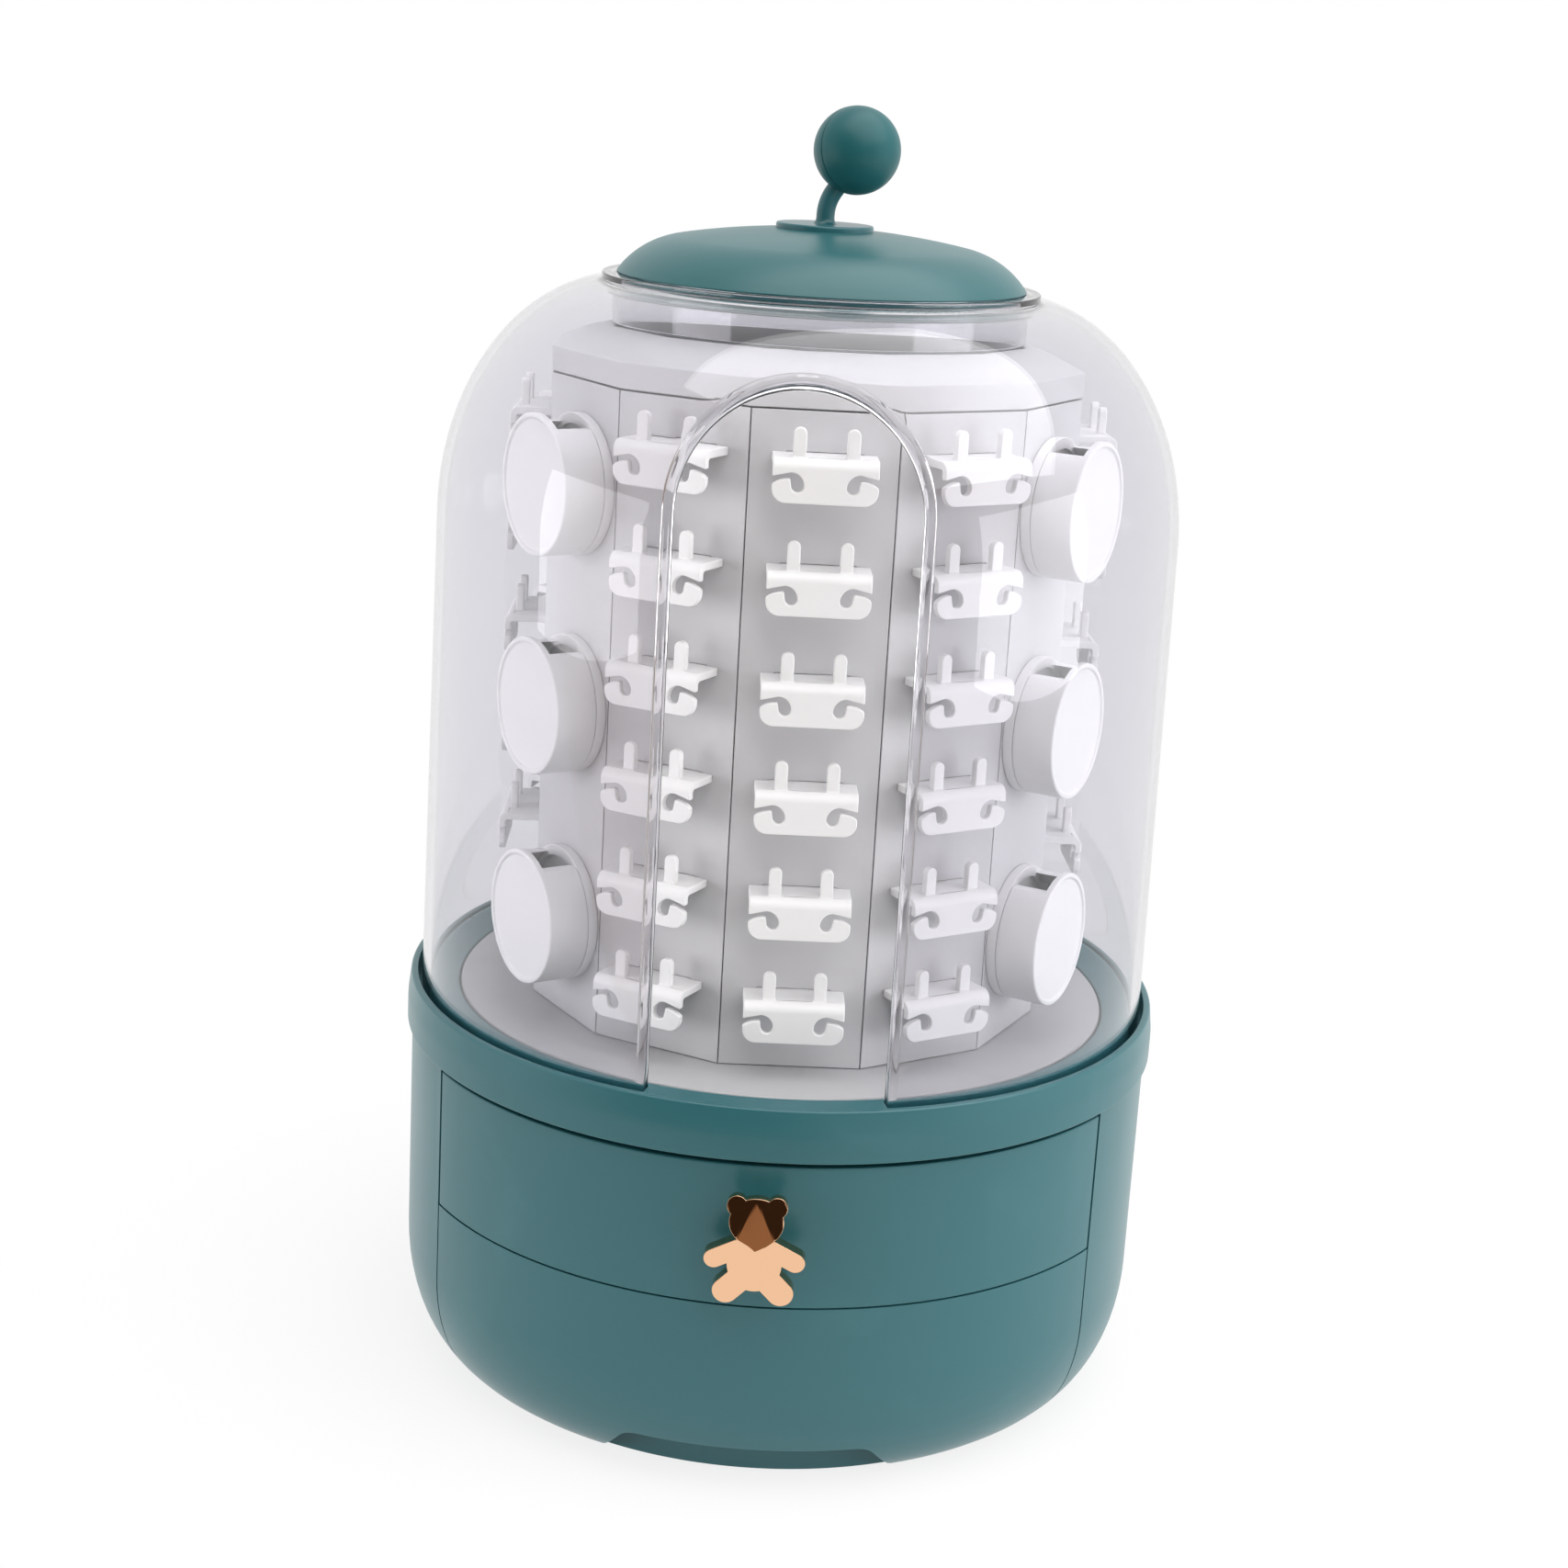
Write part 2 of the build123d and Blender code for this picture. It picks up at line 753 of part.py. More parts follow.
def partitions(places, low):
    # upright walls from front to back of a tray
    with BuildPart(mode=Mode.PRIVATE) as form:
        with BuildSketch(Plane.XY.offset(low)):
            with Locations(*[(x, 0) for x in places]):
                Rectangle(partition_wall, far)
        extrude(amount=partition_height)
        add(tray_outside(low, seam_level), mode=Mode.INTERSECT)
    return form.part


def limb(start, end, radius):
    # rounded arm or leg of the figure, drawn in the open sketch
    turn = degrees(atan2(end[1] - start[1], end[0] - start[0]))
    with Locations(((start[0] + end[0]) / 2, (start[1] + end[1]) / 2)):
        SlotCenterToCenter(dist(start, end), 2 * radius, rotation=turn)


def bear_outline(inset):
    # a plain toy bear from the front, drawn in by inset
    with BuildSketch(mode=Mode.PRIVATE) as outline:
        with Locations(knob_head_place):
            Ellipse(knob_head[0] - inset, knob_head[1] - inset)
        with Locations(knob_body_place):
            Ellipse(knob_body[0] - inset, knob_body[1] - inset)
        for side in (-1, 1):
            with Locations((side * knob_ear_place[0], knob_ear_place[1])):
                Circle(knob_ear - inset)
            limb(
                (side * knob_shoulder[0], knob_shoulder[1]),
                (side * knob_hand[0], knob_hand[1]),
                knob_arm - inset,
            )
            limb((side * knob_hip[0], knob_hip[1]), (side * knob_foot[0], knob_foot[1]), knob_leg - inset)
    return outline.sketch


with BuildPart() as upper_drawer_front:
    add(front_form(split_level + split_seam / 2, seam_level - top_seam))
    with Locations(*upper_screw_places):
        add(round_bar(screw_radius + screw_fit, -front_screw_length, 0), mode=Mode.SUBTRACT)
    with Locations(knob_screw_place):
        add(round_bar(screw_radius + screw_fit, -knob_screw_length, 0), mode=Mode.SUBTRACT)
upper_drawer_front.part.label = "upper_drawer_front"
export_step(upper_drawer_front.part, "parts/upper_drawer_front.step")

with BuildPart() as upper_drawer_tray:
    add(tray_outside(upper_tray_bottom, upper_tray_top))
    add(tray_hollow(upper_tray_bottom, upper_tray_top), mode=Mode.SUBTRACT)
    add(partitions((-partition_offset, partition_offset), upper_tray_bottom))
    with Locations(*upper_screw_places, knob_screw_place):
        add(round_bar(screw_radius + screw_fit, -front_screw_length, 0), mode=Mode.SUBTRACT)
upper_drawer_tray.part.label = "upper_drawer_tray"
export_step(upper_drawer_tray.part, "parts/upper_drawer_tray.step")

with BuildPart() as upper_drawer_screws:
    with Locations(*upper_screw_places):
        add(pan_screw(screw_radius, front_screw_length, head_radius))
upper_drawer_screws.part.label = "upper_drawer_screws"
export_step(upper_drawer_screws.part, "parts/upper_drawer_screws.step")

with BuildPart() as bear_knob:
    back_plane = wall_plane(0, body_radius + knob_standoff, knob_level)
    for inset in (0, knob_edge):
        with BuildSketch(back_plane.offset(knob_edge - inset)):
            add(bear_outline(inset))
        extrude(amount=knob_thickness - 2 * (knob_edge - inset))
    with BuildSketch(back_plane.offset(knob_edge)):
        Circle(knob_shank)
    extrude(amount=-knob_standoff - knob_edge)
    with Locations(knob_screw_place):
        add(round_bar(screw_radius + screw_fit, -knob_screw_length, 0), mode=Mode.SUBTRACT)
bear_knob.part.label = "bear_knob"
export_step(bear_knob.part, "parts/bear_knob.step")

with BuildPart() as knob_screw:
    with Locations(knob_screw_place):
        add(pan_screw(screw_radius, knob_screw_length, head_radius))
knob_screw.part.label = "knob_screw"
export_step(knob_screw.part, "parts/knob_screw.step")

with BuildPart(mode=Mode.PRIVATE) as notch_form:
    with BuildSketch(Plane.XZ):
        with BuildLine():
            notch = Polyline(
                (-notch_foot_half, 0),
                (-notch_top_half, pad_lift + notch_height),
                (notch_top_half, pad_lift + notch_height),
                (notch_foot_half, 0),
                close=True,
            )
        make_face()
        fillet(notch.vertices().group_by(Axis.Z)[-1], notch_corner)
    extrude(amount=far)
    add(round_bar(notch_back, 0, seam_level), mode=Mode.SUBTRACT)

with BuildPart(mode=Mode.PRIVATE) as finger_back:
    add(finger_block(notch_back - finger_wall, finger_side, -tray_fit))
    add(round_bar(notch_back, pad_lift, seam_level), mode=Mode.INTERSECT)

with BuildPart() as lower_drawer_front:
    add(front_form(pad_lift, split_level - split_seam / 2))
    add(finger_back.part)
    add(notch_form.part, mode=Mode.SUBTRACT)
    with Locations(*lower_screw_places):
        add(round_bar(screw_radius + screw_fit, -front_screw_length, 0), mode=Mode.SUBTRACT)
lower_drawer_front.part.label = "lower_drawer_front"
export_step(lower_drawer_front.part, "parts/lower_drawer_front.step")

with BuildPart(mode=Mode.PRIVATE) as lower_hollow:
    add(tray_hollow(lower_tray_bottom, lower_tray_top))
    add(
        finger_block(pocket_radius - tray_wall, finger_side + tray_fit + tray_wall, tray_wall),
        mode=Mode.SUBTRACT,
    )

with BuildPart() as lower_drawer_tray:
    add(tray_outside(lower_tray_bottom, lower_tray_top))
    add(lower_hollow.part, mode=Mode.SUBTRACT)
    add(partitions((0,), lower_tray_bottom))
    add(finger_block(pocket_radius, finger_side + tray_fit, 0), mode=Mode.SUBTRACT)
    with Locations(*lower_screw_places):
        add(round_bar(screw_radius + screw_fit, -front_screw_length, 0), mode=Mode.SUBTRACT)
lower_drawer_tray.part.label = "lower_drawer_tray"
export_step(lower_drawer_tray.part, "parts/lower_drawer_tray.step")

with BuildPart() as lower_drawer_screws:
    with Locations(*lower_screw_places):
        add(pan_screw(screw_radius, front_screw_length, head_radius))
lower_drawer_screws.part.label = "lower_drawer_screws"
export_step(lower_drawer_screws.part, "parts/lower_drawer_screws.step")

# Turntable and drum
core_screw_length = core_flange + screw_bite
core_screw_hole = core_screw_length + screw_fit

with BuildPart() as turntable_disc:
    add(round_bar(disc_radius, disc_bottom, disc_top))
    fillet(turntable_disc.faces().sort_by(Axis.Z)[-1].edges(), disc_edge_round)
    add(round_bar(spindle_radius + running_gap, disc_bottom, disc_top), mode=Mode.SUBTRACT)
    with BuildSketch(Plane.XY.offset(core_flange_top)):
        with PolarLocations(core_screw_circle, core_screw_count, start_angle=drum_turn):
            Circle(screw_radius + screw_fit)
    extrude(amount=-core_screw_hole, mode=Mode.SUBTRACT)
turntable_disc.part.label = "turntable_disc"
export_step(turntable_disc.part, "parts/turntable_disc.step")

with BuildPart() as drum_core:
    add(drum_prism(core_apothem, disc_top, core_top))
    add(drum_prism(core_inside, core_flange_top, core_top), mode=Mode.SUBTRACT)
    add(drum_prism(core_inside - core_flange_width, disc_top, core_flange_top), mode=Mode.SUBTRACT)
    with BuildSketch(Plane.XY.offset(core_flange_top)):
        with PolarLocations(core_screw_circle, core_screw_count, start_angle=drum_turn):
            Circle(screw_radius + screw_fit)
    extrude(amount=-core_flange, mode=Mode.SUBTRACT)
drum_core.part.label = "drum_core"
export_step(drum_core.part, "parts/drum_core.step")

with BuildPart() as core_screws:
    with Locations((0, 0, core_flange_top)):
        with PolarLocations(core_screw_circle, core_screw_count, start_angle=drum_turn):
            add(pan_screw(screw_radius, core_screw_length, head_radius))
core_screws.part.label = "core_screws"
export_step(core_screws.part, "parts/core_screws.step")

with BuildPart() as drum_cap:
    inner_step = cap_step_apothem - cap_wall / 4
    add(drum_prism(panel_apothem, band_bottom, band_top))
    add(drum_slope(panel_apothem, band_top, cap_step_apothem, step_level))
    add(drum_slope(cap_step_apothem, step_level, cap_mouth_apothem, mouth_level))
    add(drum_prism(panel_apothem - cap_wall, band_bottom, cap_roof), mode=Mode.SUBTRACT)
    add(
        drum_slope(panel_apothem - cap_wall, cap_roof, inner_step, step_level - cap_wall),
        mode=Mode.SUBTRACT,
    )
    add(
        drum_slope(inner_step, step_level - cap_wall, cap_mouth_apothem, mouth_level - cap_wall),
        mode=Mode.SUBTRACT,
    )
    skirt_apothem = core_inside - cap_fit
    add(drum_prism(skirt_apothem, panel_top - cap_skirt_depth, step_level - cap_wall))
    add(
        drum_prism(skirt_apothem - cap_wall, panel_top - cap_skirt_depth, step_level - cap_wall),
        mode=Mode.SUBTRACT,
    )
    add(drum_prism(cap_mouth_apothem, mouth_level - cap_lip_depth, mouth_level))
    add(
        drum_prism(cap_mouth_apothem - cap_lip_wall, mouth_level - cap_lip_depth, mouth_level),
        mode=Mode.SUBTRACT,
    )
drum_cap.part.label = "drum_cap"
export_step(drum_cap.part, "parts/drum_cap.step")

stub_length = panel_apothem - tongue_apothem

for number in range(1, side_count + 1):
    angle = panel_angle(number)
    foot = wall_plane(angle, panel_apothem, panel_bottom)
    with BuildPart() as panel:
        with BuildSketch(Plane(origin=foot.origin, x_dir=foot.x_dir, z_dir=(0, 0, 1))):
            outer_half = panel_apothem * tan(radians(180 / side_count)) - panel_seam / 2
            inner_half = (panel_apothem - panel_wall) * tan(radians(180 / side_count)) - panel_seam / 2
            with BuildLine():
                Polyline(
                    (-outer_half, 0),
                    (outer_half, 0),
                    (inner_half, panel_wall),
                    (-inner_half, panel_wall),
                    close=True,
                )
            make_face()
        extrude(amount=panel_height)
        if number in hook_columns:
            for level in hook_levels:
                with BuildSketch(wall_plane(angle, panel_apothem, level - hook_shelf / 2)):
                    Rectangle(tongue_width + 2 * tongue_gap, hook_shelf + 2 * tongue_gap)
                extrude(amount=-panel_wall, mode=Mode.SUBTRACT)
        else:
            for level in box_levels:
                with BuildSketch(wall_plane(angle, panel_apothem, level)):
                    Circle(stub_radius + tongue_gap)
                extrude(amount=-panel_wall, mode=Mode.SUBTRACT)
    panel.part.label = f"panel_{number:02d}"
    export_step(panel.part, f"parts/panel_{number:02d}.step")


# Hooks
def hook_form():
    # one hook, with the panel's face at Z = 0, Y up and the top of its shelf at Y = 0
    half = hook_width / 2
    inner_bend = hook_bend - hook_plate
    plate_back = hook_reach - hook_plate
    slot_end = (slot_reach, -slot_drop)
    arch = slot_end[0] - slot_end_radius + slot_arch
    slot_top = slot_arch - slot_drop
    lobe_top = slot_top - slot_throat
    beyond = half + side_overrun
    with BuildPart(mode=Mode.PRIVATE) as form:
        with BuildSketch(Plane.YZ):
            with BuildLine():
                shelf = Line((0, 0), (0, hook_reach - hook_bend))
                bend = TangentArc(shelf @ 1, (-hook_bend, hook_reach), tangent=(0, 1))
                plate = Polyline(
                    bend @ 1,
                    (-hook_height, hook_reach),
                    (-hook_height, plate_back),
                    (-hook_shelf - inner_bend, plate_back),
                )
                inside = TangentArc(plate @ 1, (-hook_shelf, plate_back - inner_bend), tangent=(1, 0))
                Polyline(inside @ 1, (-hook_shelf, 0), shelf @ 0)
            make_face()
        extrude(amount=half, both=True)
        with BuildSketch(Plane.XY.offset(hook_reach)) as slots:
            with BuildLine():
                over = Line((beyond, slot_top - slot_fall), (arch, slot_top))
                turn = ThreePointArc(
                    over @ 1,
                    (arch - slot_arch * sin(radians(45)), -slot_drop + slot_arch * cos(radians(45))),
                    (arch - slot_arch, -slot_drop),
                )
                end = ThreePointArc(
                    turn @ 1,
                    (slot_end[0], -slot_drop - slot_end_radius),
                    (slot_end[0] + slot_end_radius, -slot_drop),
                )
                tip = Line(end @ 1, (slot_end[0] + slot_end_radius + slot_lean, lobe_top))
                lobe = ThreePointArc(
                    tip @ 1,
                    (
                        (tip @ 1).X + (half - (tip @ 1).X) * lobe_crest,
                        lobe_top - lobe_fall * lobe_crest_fall,
                    ),
                    (beyond, lobe_top - lobe_fall),
                )
                Line(lobe @ 1, over @ 0)
            make_face()
            mirror(about=Plane.YZ)
        extrude(amount=-hook_plate, mode=Mode.SUBTRACT)
        fillet(form.edges().filter_by(Axis.Z).group_by(Axis.Y)[0], hook_corner)
        with BuildSketch(Plane.XY.offset(hook_reach - peg_set_back)):
            with Locations(*[(side * peg_offset, (peg_height - peg_width / 2) / 2) for side in (-1, 1)]):
                SlotOverall(peg_height + peg_width / 2, peg_width, rotation=90)
        extrude(amount=-peg_depth)
        with BuildSketch(Plane.XY):
            with Locations((0, -hook_shelf / 2)):
                Rectangle(tongue_width, hook_shelf)
        extrude(amount=-stub_length)
    return form.part


hook = hook_form()
for number in hook_columns:
    angle = panel_angle(number)
    with BuildPart() as hooks:
        with Locations(*[wall_plane(angle, panel_apothem, level) for level in hook_levels]):
            add(hook)
    hooks.part.label = f"hooks_{number:02d}"
    export_step(hooks.part, f"parts/hooks_{number:02d}.step")


# Round boxes
def open_top(drop):
    # takes away what lies above the level drop under the top, in the open sketch
    with Locations((0, 2 * box_radius - drop)):
        Rectangle(2 * box_radius, 2 * box_radius, mode=Mode.SUBTRACT)


def dish_form():
    # back of a box, with the panel's face at Z = 0 and Y up
    spigot_radius = box_radius - box_wall - tray_fit
    with BuildPart(mode=Mode.PRIVATE) as form:
        with BuildSketch():
            Circle(box_radius)
        extrude(amount=dish_depth)
        with BuildSketch(Plane.XY.offset(dish_depth)):
            Circle(spigot_radius - dish_spigot_wall)
        extrude(amount=dish_floor - dish_depth, mode=Mode.SUBTRACT)
        with BuildSketch(Plane.XY.offset(dish_depth)):
            Circle(spigot_radius)
            Circle(spigot_radius - dish_spigot_wall, mode=Mode.SUBTRACT)
            open_top(dish_spigot_drop)
        extrude(amount=dish_spigot)
        with BuildSketch():
            Circle(stub_radius)
        extrude(amount=-stub_length)
    return form.part


def cup_form():
    # front of a box: a full round face, and a wall that is open at the top
    wall_start = dish_depth + box_seam
    with BuildPart(mode=Mode.PRIVATE) as form:
        with BuildSketch(Plane.XY.offset(wall_start)):
            Circle(box_radius)
            Circle(box_radius - box_wall, mode=Mode.SUBTRACT)
            open_top(box_mouth_drop)
        extrude(amount=box_reach - box_face - wall_start)
        with BuildSketch(Plane.XY.offset(box_reach - box_face)):
            Circle(box_radius)
        extrude(amount=box_face)
        with BuildSketch(Plane.XY.offset(box_reach)):
            Circle(box_radius - box_rim_width)
        extrude(amount=-box_rim, mode=Mode.SUBTRACT)
    return form.part


dish = dish_form()
cup = cup_form()
for number in box_columns:
    places = [wall_plane(panel_angle(number), panel_apothem, level) for level in box_levels]
    with BuildPart() as box_backs:
        with Locations(*places):
            add(dish)
    box_backs.part.label = f"box_backs_{number:02d}"
    export_step(box_backs.part, f"parts/box_backs_{number:02d}.step")
    with BuildPart() as box_cups:
        with Locations(*places):
            add(cup)
    box_cups.part.label = f"box_cups_{number:02d}"
    export_step(box_cups.part, f"parts/box_cups_{number:02d}.step")


# Dome
def bead_form():
    # the raised frame around the doorway
    with BuildPart(mode=Mode.PRIVATE) as form:
        add(dome_form(-bead_proud, bead_bottom))
        add(dome_form(dome_wall + bead_proud, bead_bottom), mode=Mode.SUBTRACT)
        add(door_block(bead_width, bead_bottom), mode=Mode.INTERSECT)
    return form.part


with BuildPart(mode=Mode.PRIVATE) as dome_shell:
    add(dome_form(0, dome_bottom))
    add(dome_form(dome_wall, dome_bottom), mode=Mode.SUBTRACT)
    add(bead_form())
    add(door_block(0, dome_bottom), mode=Mode.SUBTRACT)
    add(round_bar(neck_collar_radius + glue_gap, shoulder_level, rim_top), mode=Mode.SUBTRACT)

with BuildPart() as dome:
    add(dome_shell.part)
    add(round_bar(far, shoulder_level, rim_top), mode=Mode.SUBTRACT)
dome.part.label = "dome"
export_step(dome.part, "parts/dome.step")

# Shoulder: bonded onto the dome's wall
with BuildPart() as dome_shoulder:
    add(dome_shell.part)
    add(round_bar(far, dome_bottom, shoulder_level + glue_gap), mode=Mode.SUBTRACT)
dome_shoulder.part.label = "dome_shoulder"
export_step(dome_shoulder.part, "parts/dome_shoulder.step")

# Neck: a ring bonded into the shoulder's top, with a tube below and a flat rim above
with BuildPart() as dome_neck:
    add(round_bar(neck_tube_radius, dome_top - neck_tube_drop, rim_top))
    add(round_bar(neck_collar_radius, dome_top - neck_collar_drop, rim_top))
    add(round_bar(neck_rim_radius, dome_top - neck_rim_drop, rim_top))
    fillet(dome_neck.faces().sort_by(Axis.Z)[-1].edges(), rim_round)
    add(round_bar(neck_bore, dome_top - neck_tube_drop, rim_top), mode=Mode.SUBTRACT)
dome_neck.part.label = "dome_neck"
export_step(dome_neck.part, "parts/dome_neck.step")

# Lid
with BuildPart() as lid_shell:
    add(lid_form(0))
    add(lid_form(lid_wall), mode=Mode.SUBTRACT)
    add(round_bar(rest_radius + glue_gap, rest_bottom, lid_top), mode=Mode.SUBTRACT)
    add(round_bar(handle_screw_radius + screw_fit, lid_bottom, lid_top), mode=Mode.SUBTRACT)
lid_shell.part.label = "lid_shell"
export_step(lid_shell.part, "parts/lid_shell.step")

with BuildPart() as lid_plug:
    spigot_top = lid_bottom + spigot_height
    groove_bottom = plug_bottom + seal_rise
    groove_top = groove_bottom + seal_height
    add(lid_form(lid_wall + plug_fit))
    add(round_bar(plug_radius, lid_bottom, spigot_top), mode=Mode.INTERSECT)
    add(round_bar(plug_radius, plug_bottom, lid_bottom))
    add(round_bar(plug_radius - plug_wall, plug_bottom + plug_plate, spigot_top), mode=Mode.SUBTRACT)
    with BuildSketch(Plane.XY.offset(groove_bottom - screw_fit)):
        Circle(plug_radius + seal_groove)
        Circle(plug_radius - seal_groove, mode=Mode.SUBTRACT)
    extrude(amount=seal_height + 2 * screw_fit, mode=Mode.SUBTRACT)
lid_plug.part.label = "lid_plug"
export_step(lid_plug.part, "parts/lid_plug.step")

with BuildPart() as lid_seal:
    add(round_bar(neck_bore - seal_gap, groove_bottom, groove_top))
    add(round_bar(plug_radius - seal_groove, groove_bottom, groove_top), mode=Mode.SUBTRACT)
lid_seal.part.label = "lid_seal"
export_step(lid_seal.part, "parts/lid_seal.step")

# Handle on the lid
with BuildPart() as handle_disc:
    add(round_bar(rest_radius, rest_bottom, rest_top))
    fillet(handle_disc.faces().sort_by(Axis.Z)[-1].edges(), rest_round)
    add(round_bar(stem_radius + glue_gap, stem_bottom, rest_top), mode=Mode.SUBTRACT)
    add(round_bar(handle_screw_radius + screw_fit, rest_bottom, stem_bottom), mode=Mode.SUBTRACT)
handle_disc.part.label = "handle_disc"
export_step(handle_disc.part, "parts/handle_disc.step")

with BuildPart() as handle_stem:
    add(stem_form(stem_radius, stem_bite))
    add(
        round_bar(handle_screw_radius + screw_fit, stem_bottom, stem_bottom + handle_screw_bite + screw_fit),
        mode=Mode.SUBTRACT,
    )
handle_stem.part.label = "handle_stem"
export_step(handle_stem.part, "parts/handle_stem.step")

ball_seam_plane = Plane(
    origin=(ball_offset, 0, ball_level),
    z_dir=(
        sin(radians(ball_seam_turn)) * cos(radians(ball_seam_tilt)),
        -cos(radians(ball_seam_turn)) * cos(radians(ball_seam_tilt)),
        sin(radians(ball_seam_tilt)),
    ),
)

with BuildPart(mode=Mode.PRIVATE) as ball:
    with Locations((ball_offset, 0, ball_level)):
        Sphere(ball_radius)
    add(stem_form(stem_radius + glue_gap, stem_bite + glue_gap), mode=Mode.SUBTRACT)

with BuildPart() as ball_front:
    add(ball.part)
    split(bisect_by=ball_seam_plane.offset(ball_seam / 2), keep=Keep.TOP)
ball_front.part.label = "ball_front"
export_step(ball_front.part, "parts/ball_front.step")

with BuildPart() as ball_back:
    add(ball.part)
    split(bisect_by=ball_seam_plane.offset(-ball_seam / 2), keep=Keep.BOTTOM)
ball_back.part.label = "ball_back"
export_step(ball_back.part, "parts/ball_back.step")

with BuildPart() as handle_screw:
    screw_seat = lid_top - lid_wall - screw_fit
    with Locations(Plane(origin=(0, 0, screw_seat), x_dir=(1, 0, 0), z_dir=(0, 0, -1))):
        add(
            pan_screw(
                handle_screw_radius, stem_bottom + handle_screw_bite - screw_seat, handle_screw_head
            )
        )
handle_screw.part.label = "handle_screw"
export_step(handle_screw.part, "parts/handle_screw.step")
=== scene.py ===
import bmesh
import bpy
from math import asin, atan2, cos, hypot, pi, radians, sin, sqrt, tau
from mathutils import Matrix, Vector
from mathutils.geometry import delaunay_2d_cdt


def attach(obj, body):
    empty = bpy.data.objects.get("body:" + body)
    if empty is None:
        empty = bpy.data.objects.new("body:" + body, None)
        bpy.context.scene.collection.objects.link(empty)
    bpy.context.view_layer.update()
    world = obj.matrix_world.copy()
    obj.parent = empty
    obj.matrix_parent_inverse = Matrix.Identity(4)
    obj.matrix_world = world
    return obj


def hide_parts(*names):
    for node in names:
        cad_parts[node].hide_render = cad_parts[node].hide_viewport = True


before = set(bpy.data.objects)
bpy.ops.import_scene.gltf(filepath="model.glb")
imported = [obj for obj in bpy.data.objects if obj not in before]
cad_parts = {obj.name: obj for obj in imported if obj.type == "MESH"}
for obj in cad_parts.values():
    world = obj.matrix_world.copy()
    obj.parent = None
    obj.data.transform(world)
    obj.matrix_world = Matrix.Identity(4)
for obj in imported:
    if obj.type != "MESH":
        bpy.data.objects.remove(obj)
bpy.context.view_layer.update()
mm = 0.001
print("frame loaded:", len(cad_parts), "solids")


def addObject(name, mesh):
    thing = bpy.data.objects.new(name, mesh)
    bpy.context.scene.collection.objects.link(thing)
    return thing


def fromPoints(name, points, faces):
    mesh = bpy.data.meshes.new(name)
    mesh.from_pydata([Vector(p) * mm for p in points], [], faces)
    form = bmesh.new()
    form.from_mesh(mesh)
    bmesh.ops.remove_doubles(form, verts=form.verts, dist=1e-6)
    bmesh.ops.recalc_face_normals(form, faces=form.faces)
    form.to_mesh(mesh)
    form.free()
    return addObject(name, mesh)


def bake(thing):
    # puts the evaluated shape in place of the modifiers
    graph = bpy.context.evaluated_depsgraph_get()
    graph.update()
    mesh = bpy.data.meshes.new_from_object(
        thing.evaluated_get(graph), preserve_all_data_layers=True, depsgraph=graph
    )
    thing.modifiers.clear()
    thing.data = mesh


def softenEdges(thing, width, rounds):
    soften = thing.modifiers.new("soften", "BEVEL")
    soften.width = width * mm
    soften.segments = rounds
    soften.limit_method = "ANGLE"
    soften.angle_limit = radians(32)
    bake(thing)


def finishEdges(thing, width=0.0, rounds=2, crease=50, isFlat=None):
    # softens the edges, then shades the faces smoothly with the large ones leading
    if width:
        softenEdges(thing, width, rounds)
    faces = thing.data.polygons
    faces.foreach_set("use_smooth", [not (isFlat and isFlat(face)) for face in faces])
    thing.data.set_sharp_from_angle(angle=radians(crease))
    lead = thing.modifiers.new("lead", "WEIGHTED_NORMAL")
    lead.keep_sharp = True
    lead.weight = 80
    bake(thing)


def carve(thing, cutter, how="DIFFERENCE"):
    cut = thing.modifiers.new("cut", "BOOLEAN")
    cut.operation = how
    cut.solver = "EXACT"
    cut.object = cutter
    bake(thing)
    bpy.data.objects.remove(cutter)


def join(name, things):
    # several meshes become one object
    form = bmesh.new()
    for thing in things:
        form.from_mesh(thing.data)
    mesh = bpy.data.meshes.new(name)
    form.to_mesh(mesh)
    form.free()
    for thing in things:
        bpy.data.objects.remove(thing)
    return addObject(name, mesh)


def softened(corners, steps=3):
    # rounds the corners of a closed outline; a corner is (across, up) or (across, up, rounding)
    outline = []
    for i, corner in enumerate(corners):
        here = Vector(corner[:2])
        if len(corner) < 3:
            outline.append(tuple(here))
            continue
        before = Vector(corners[i - 1][:2]) - here
        after = Vector(corners[(i + 1) % len(corners)][:2]) - here
        start = here + before.normalized() * min(corner[2], before.length * 0.48)
        end = here + after.normalized() * min(corner[2], after.length * 0.48)
        for k in range(steps + 1):
            t = k / steps
            outline.append(tuple(start * (1 - t) ** 2 + here * (2 * t * (1 - t)) + end * t**2))
    return outline


def turned(name, outline, steps=160):
    # runs a closed outline of (radius, level) round the axis
    points, rows, faces = [], [], []
    for radius, level in outline:
        start = len(points)
        count = steps if radius > 1e-6 else 1
        rows.append(range(start, start + steps) if count > 1 else [start] * steps)
        for k in range(count):
            angle = tau * k / steps
            points.append((radius * cos(angle), radius * sin(angle), level))
    for low, high in zip(rows, rows[1:] + rows[:1]):
        for i in range(steps):
            j = (i + 1) % steps
            corners = list(dict.fromkeys([low[i], low[j], high[j], high[i]]))
            if len(corners) > 2:
                faces.append(corners)
    return fromPoints(name, points, faces)


def wallSpot(radius, angle, level):
    # a place on the wall; angle 0 is the front and the angles run towards +X
    return (radius * sin(angle), -radius * cos(angle), level)


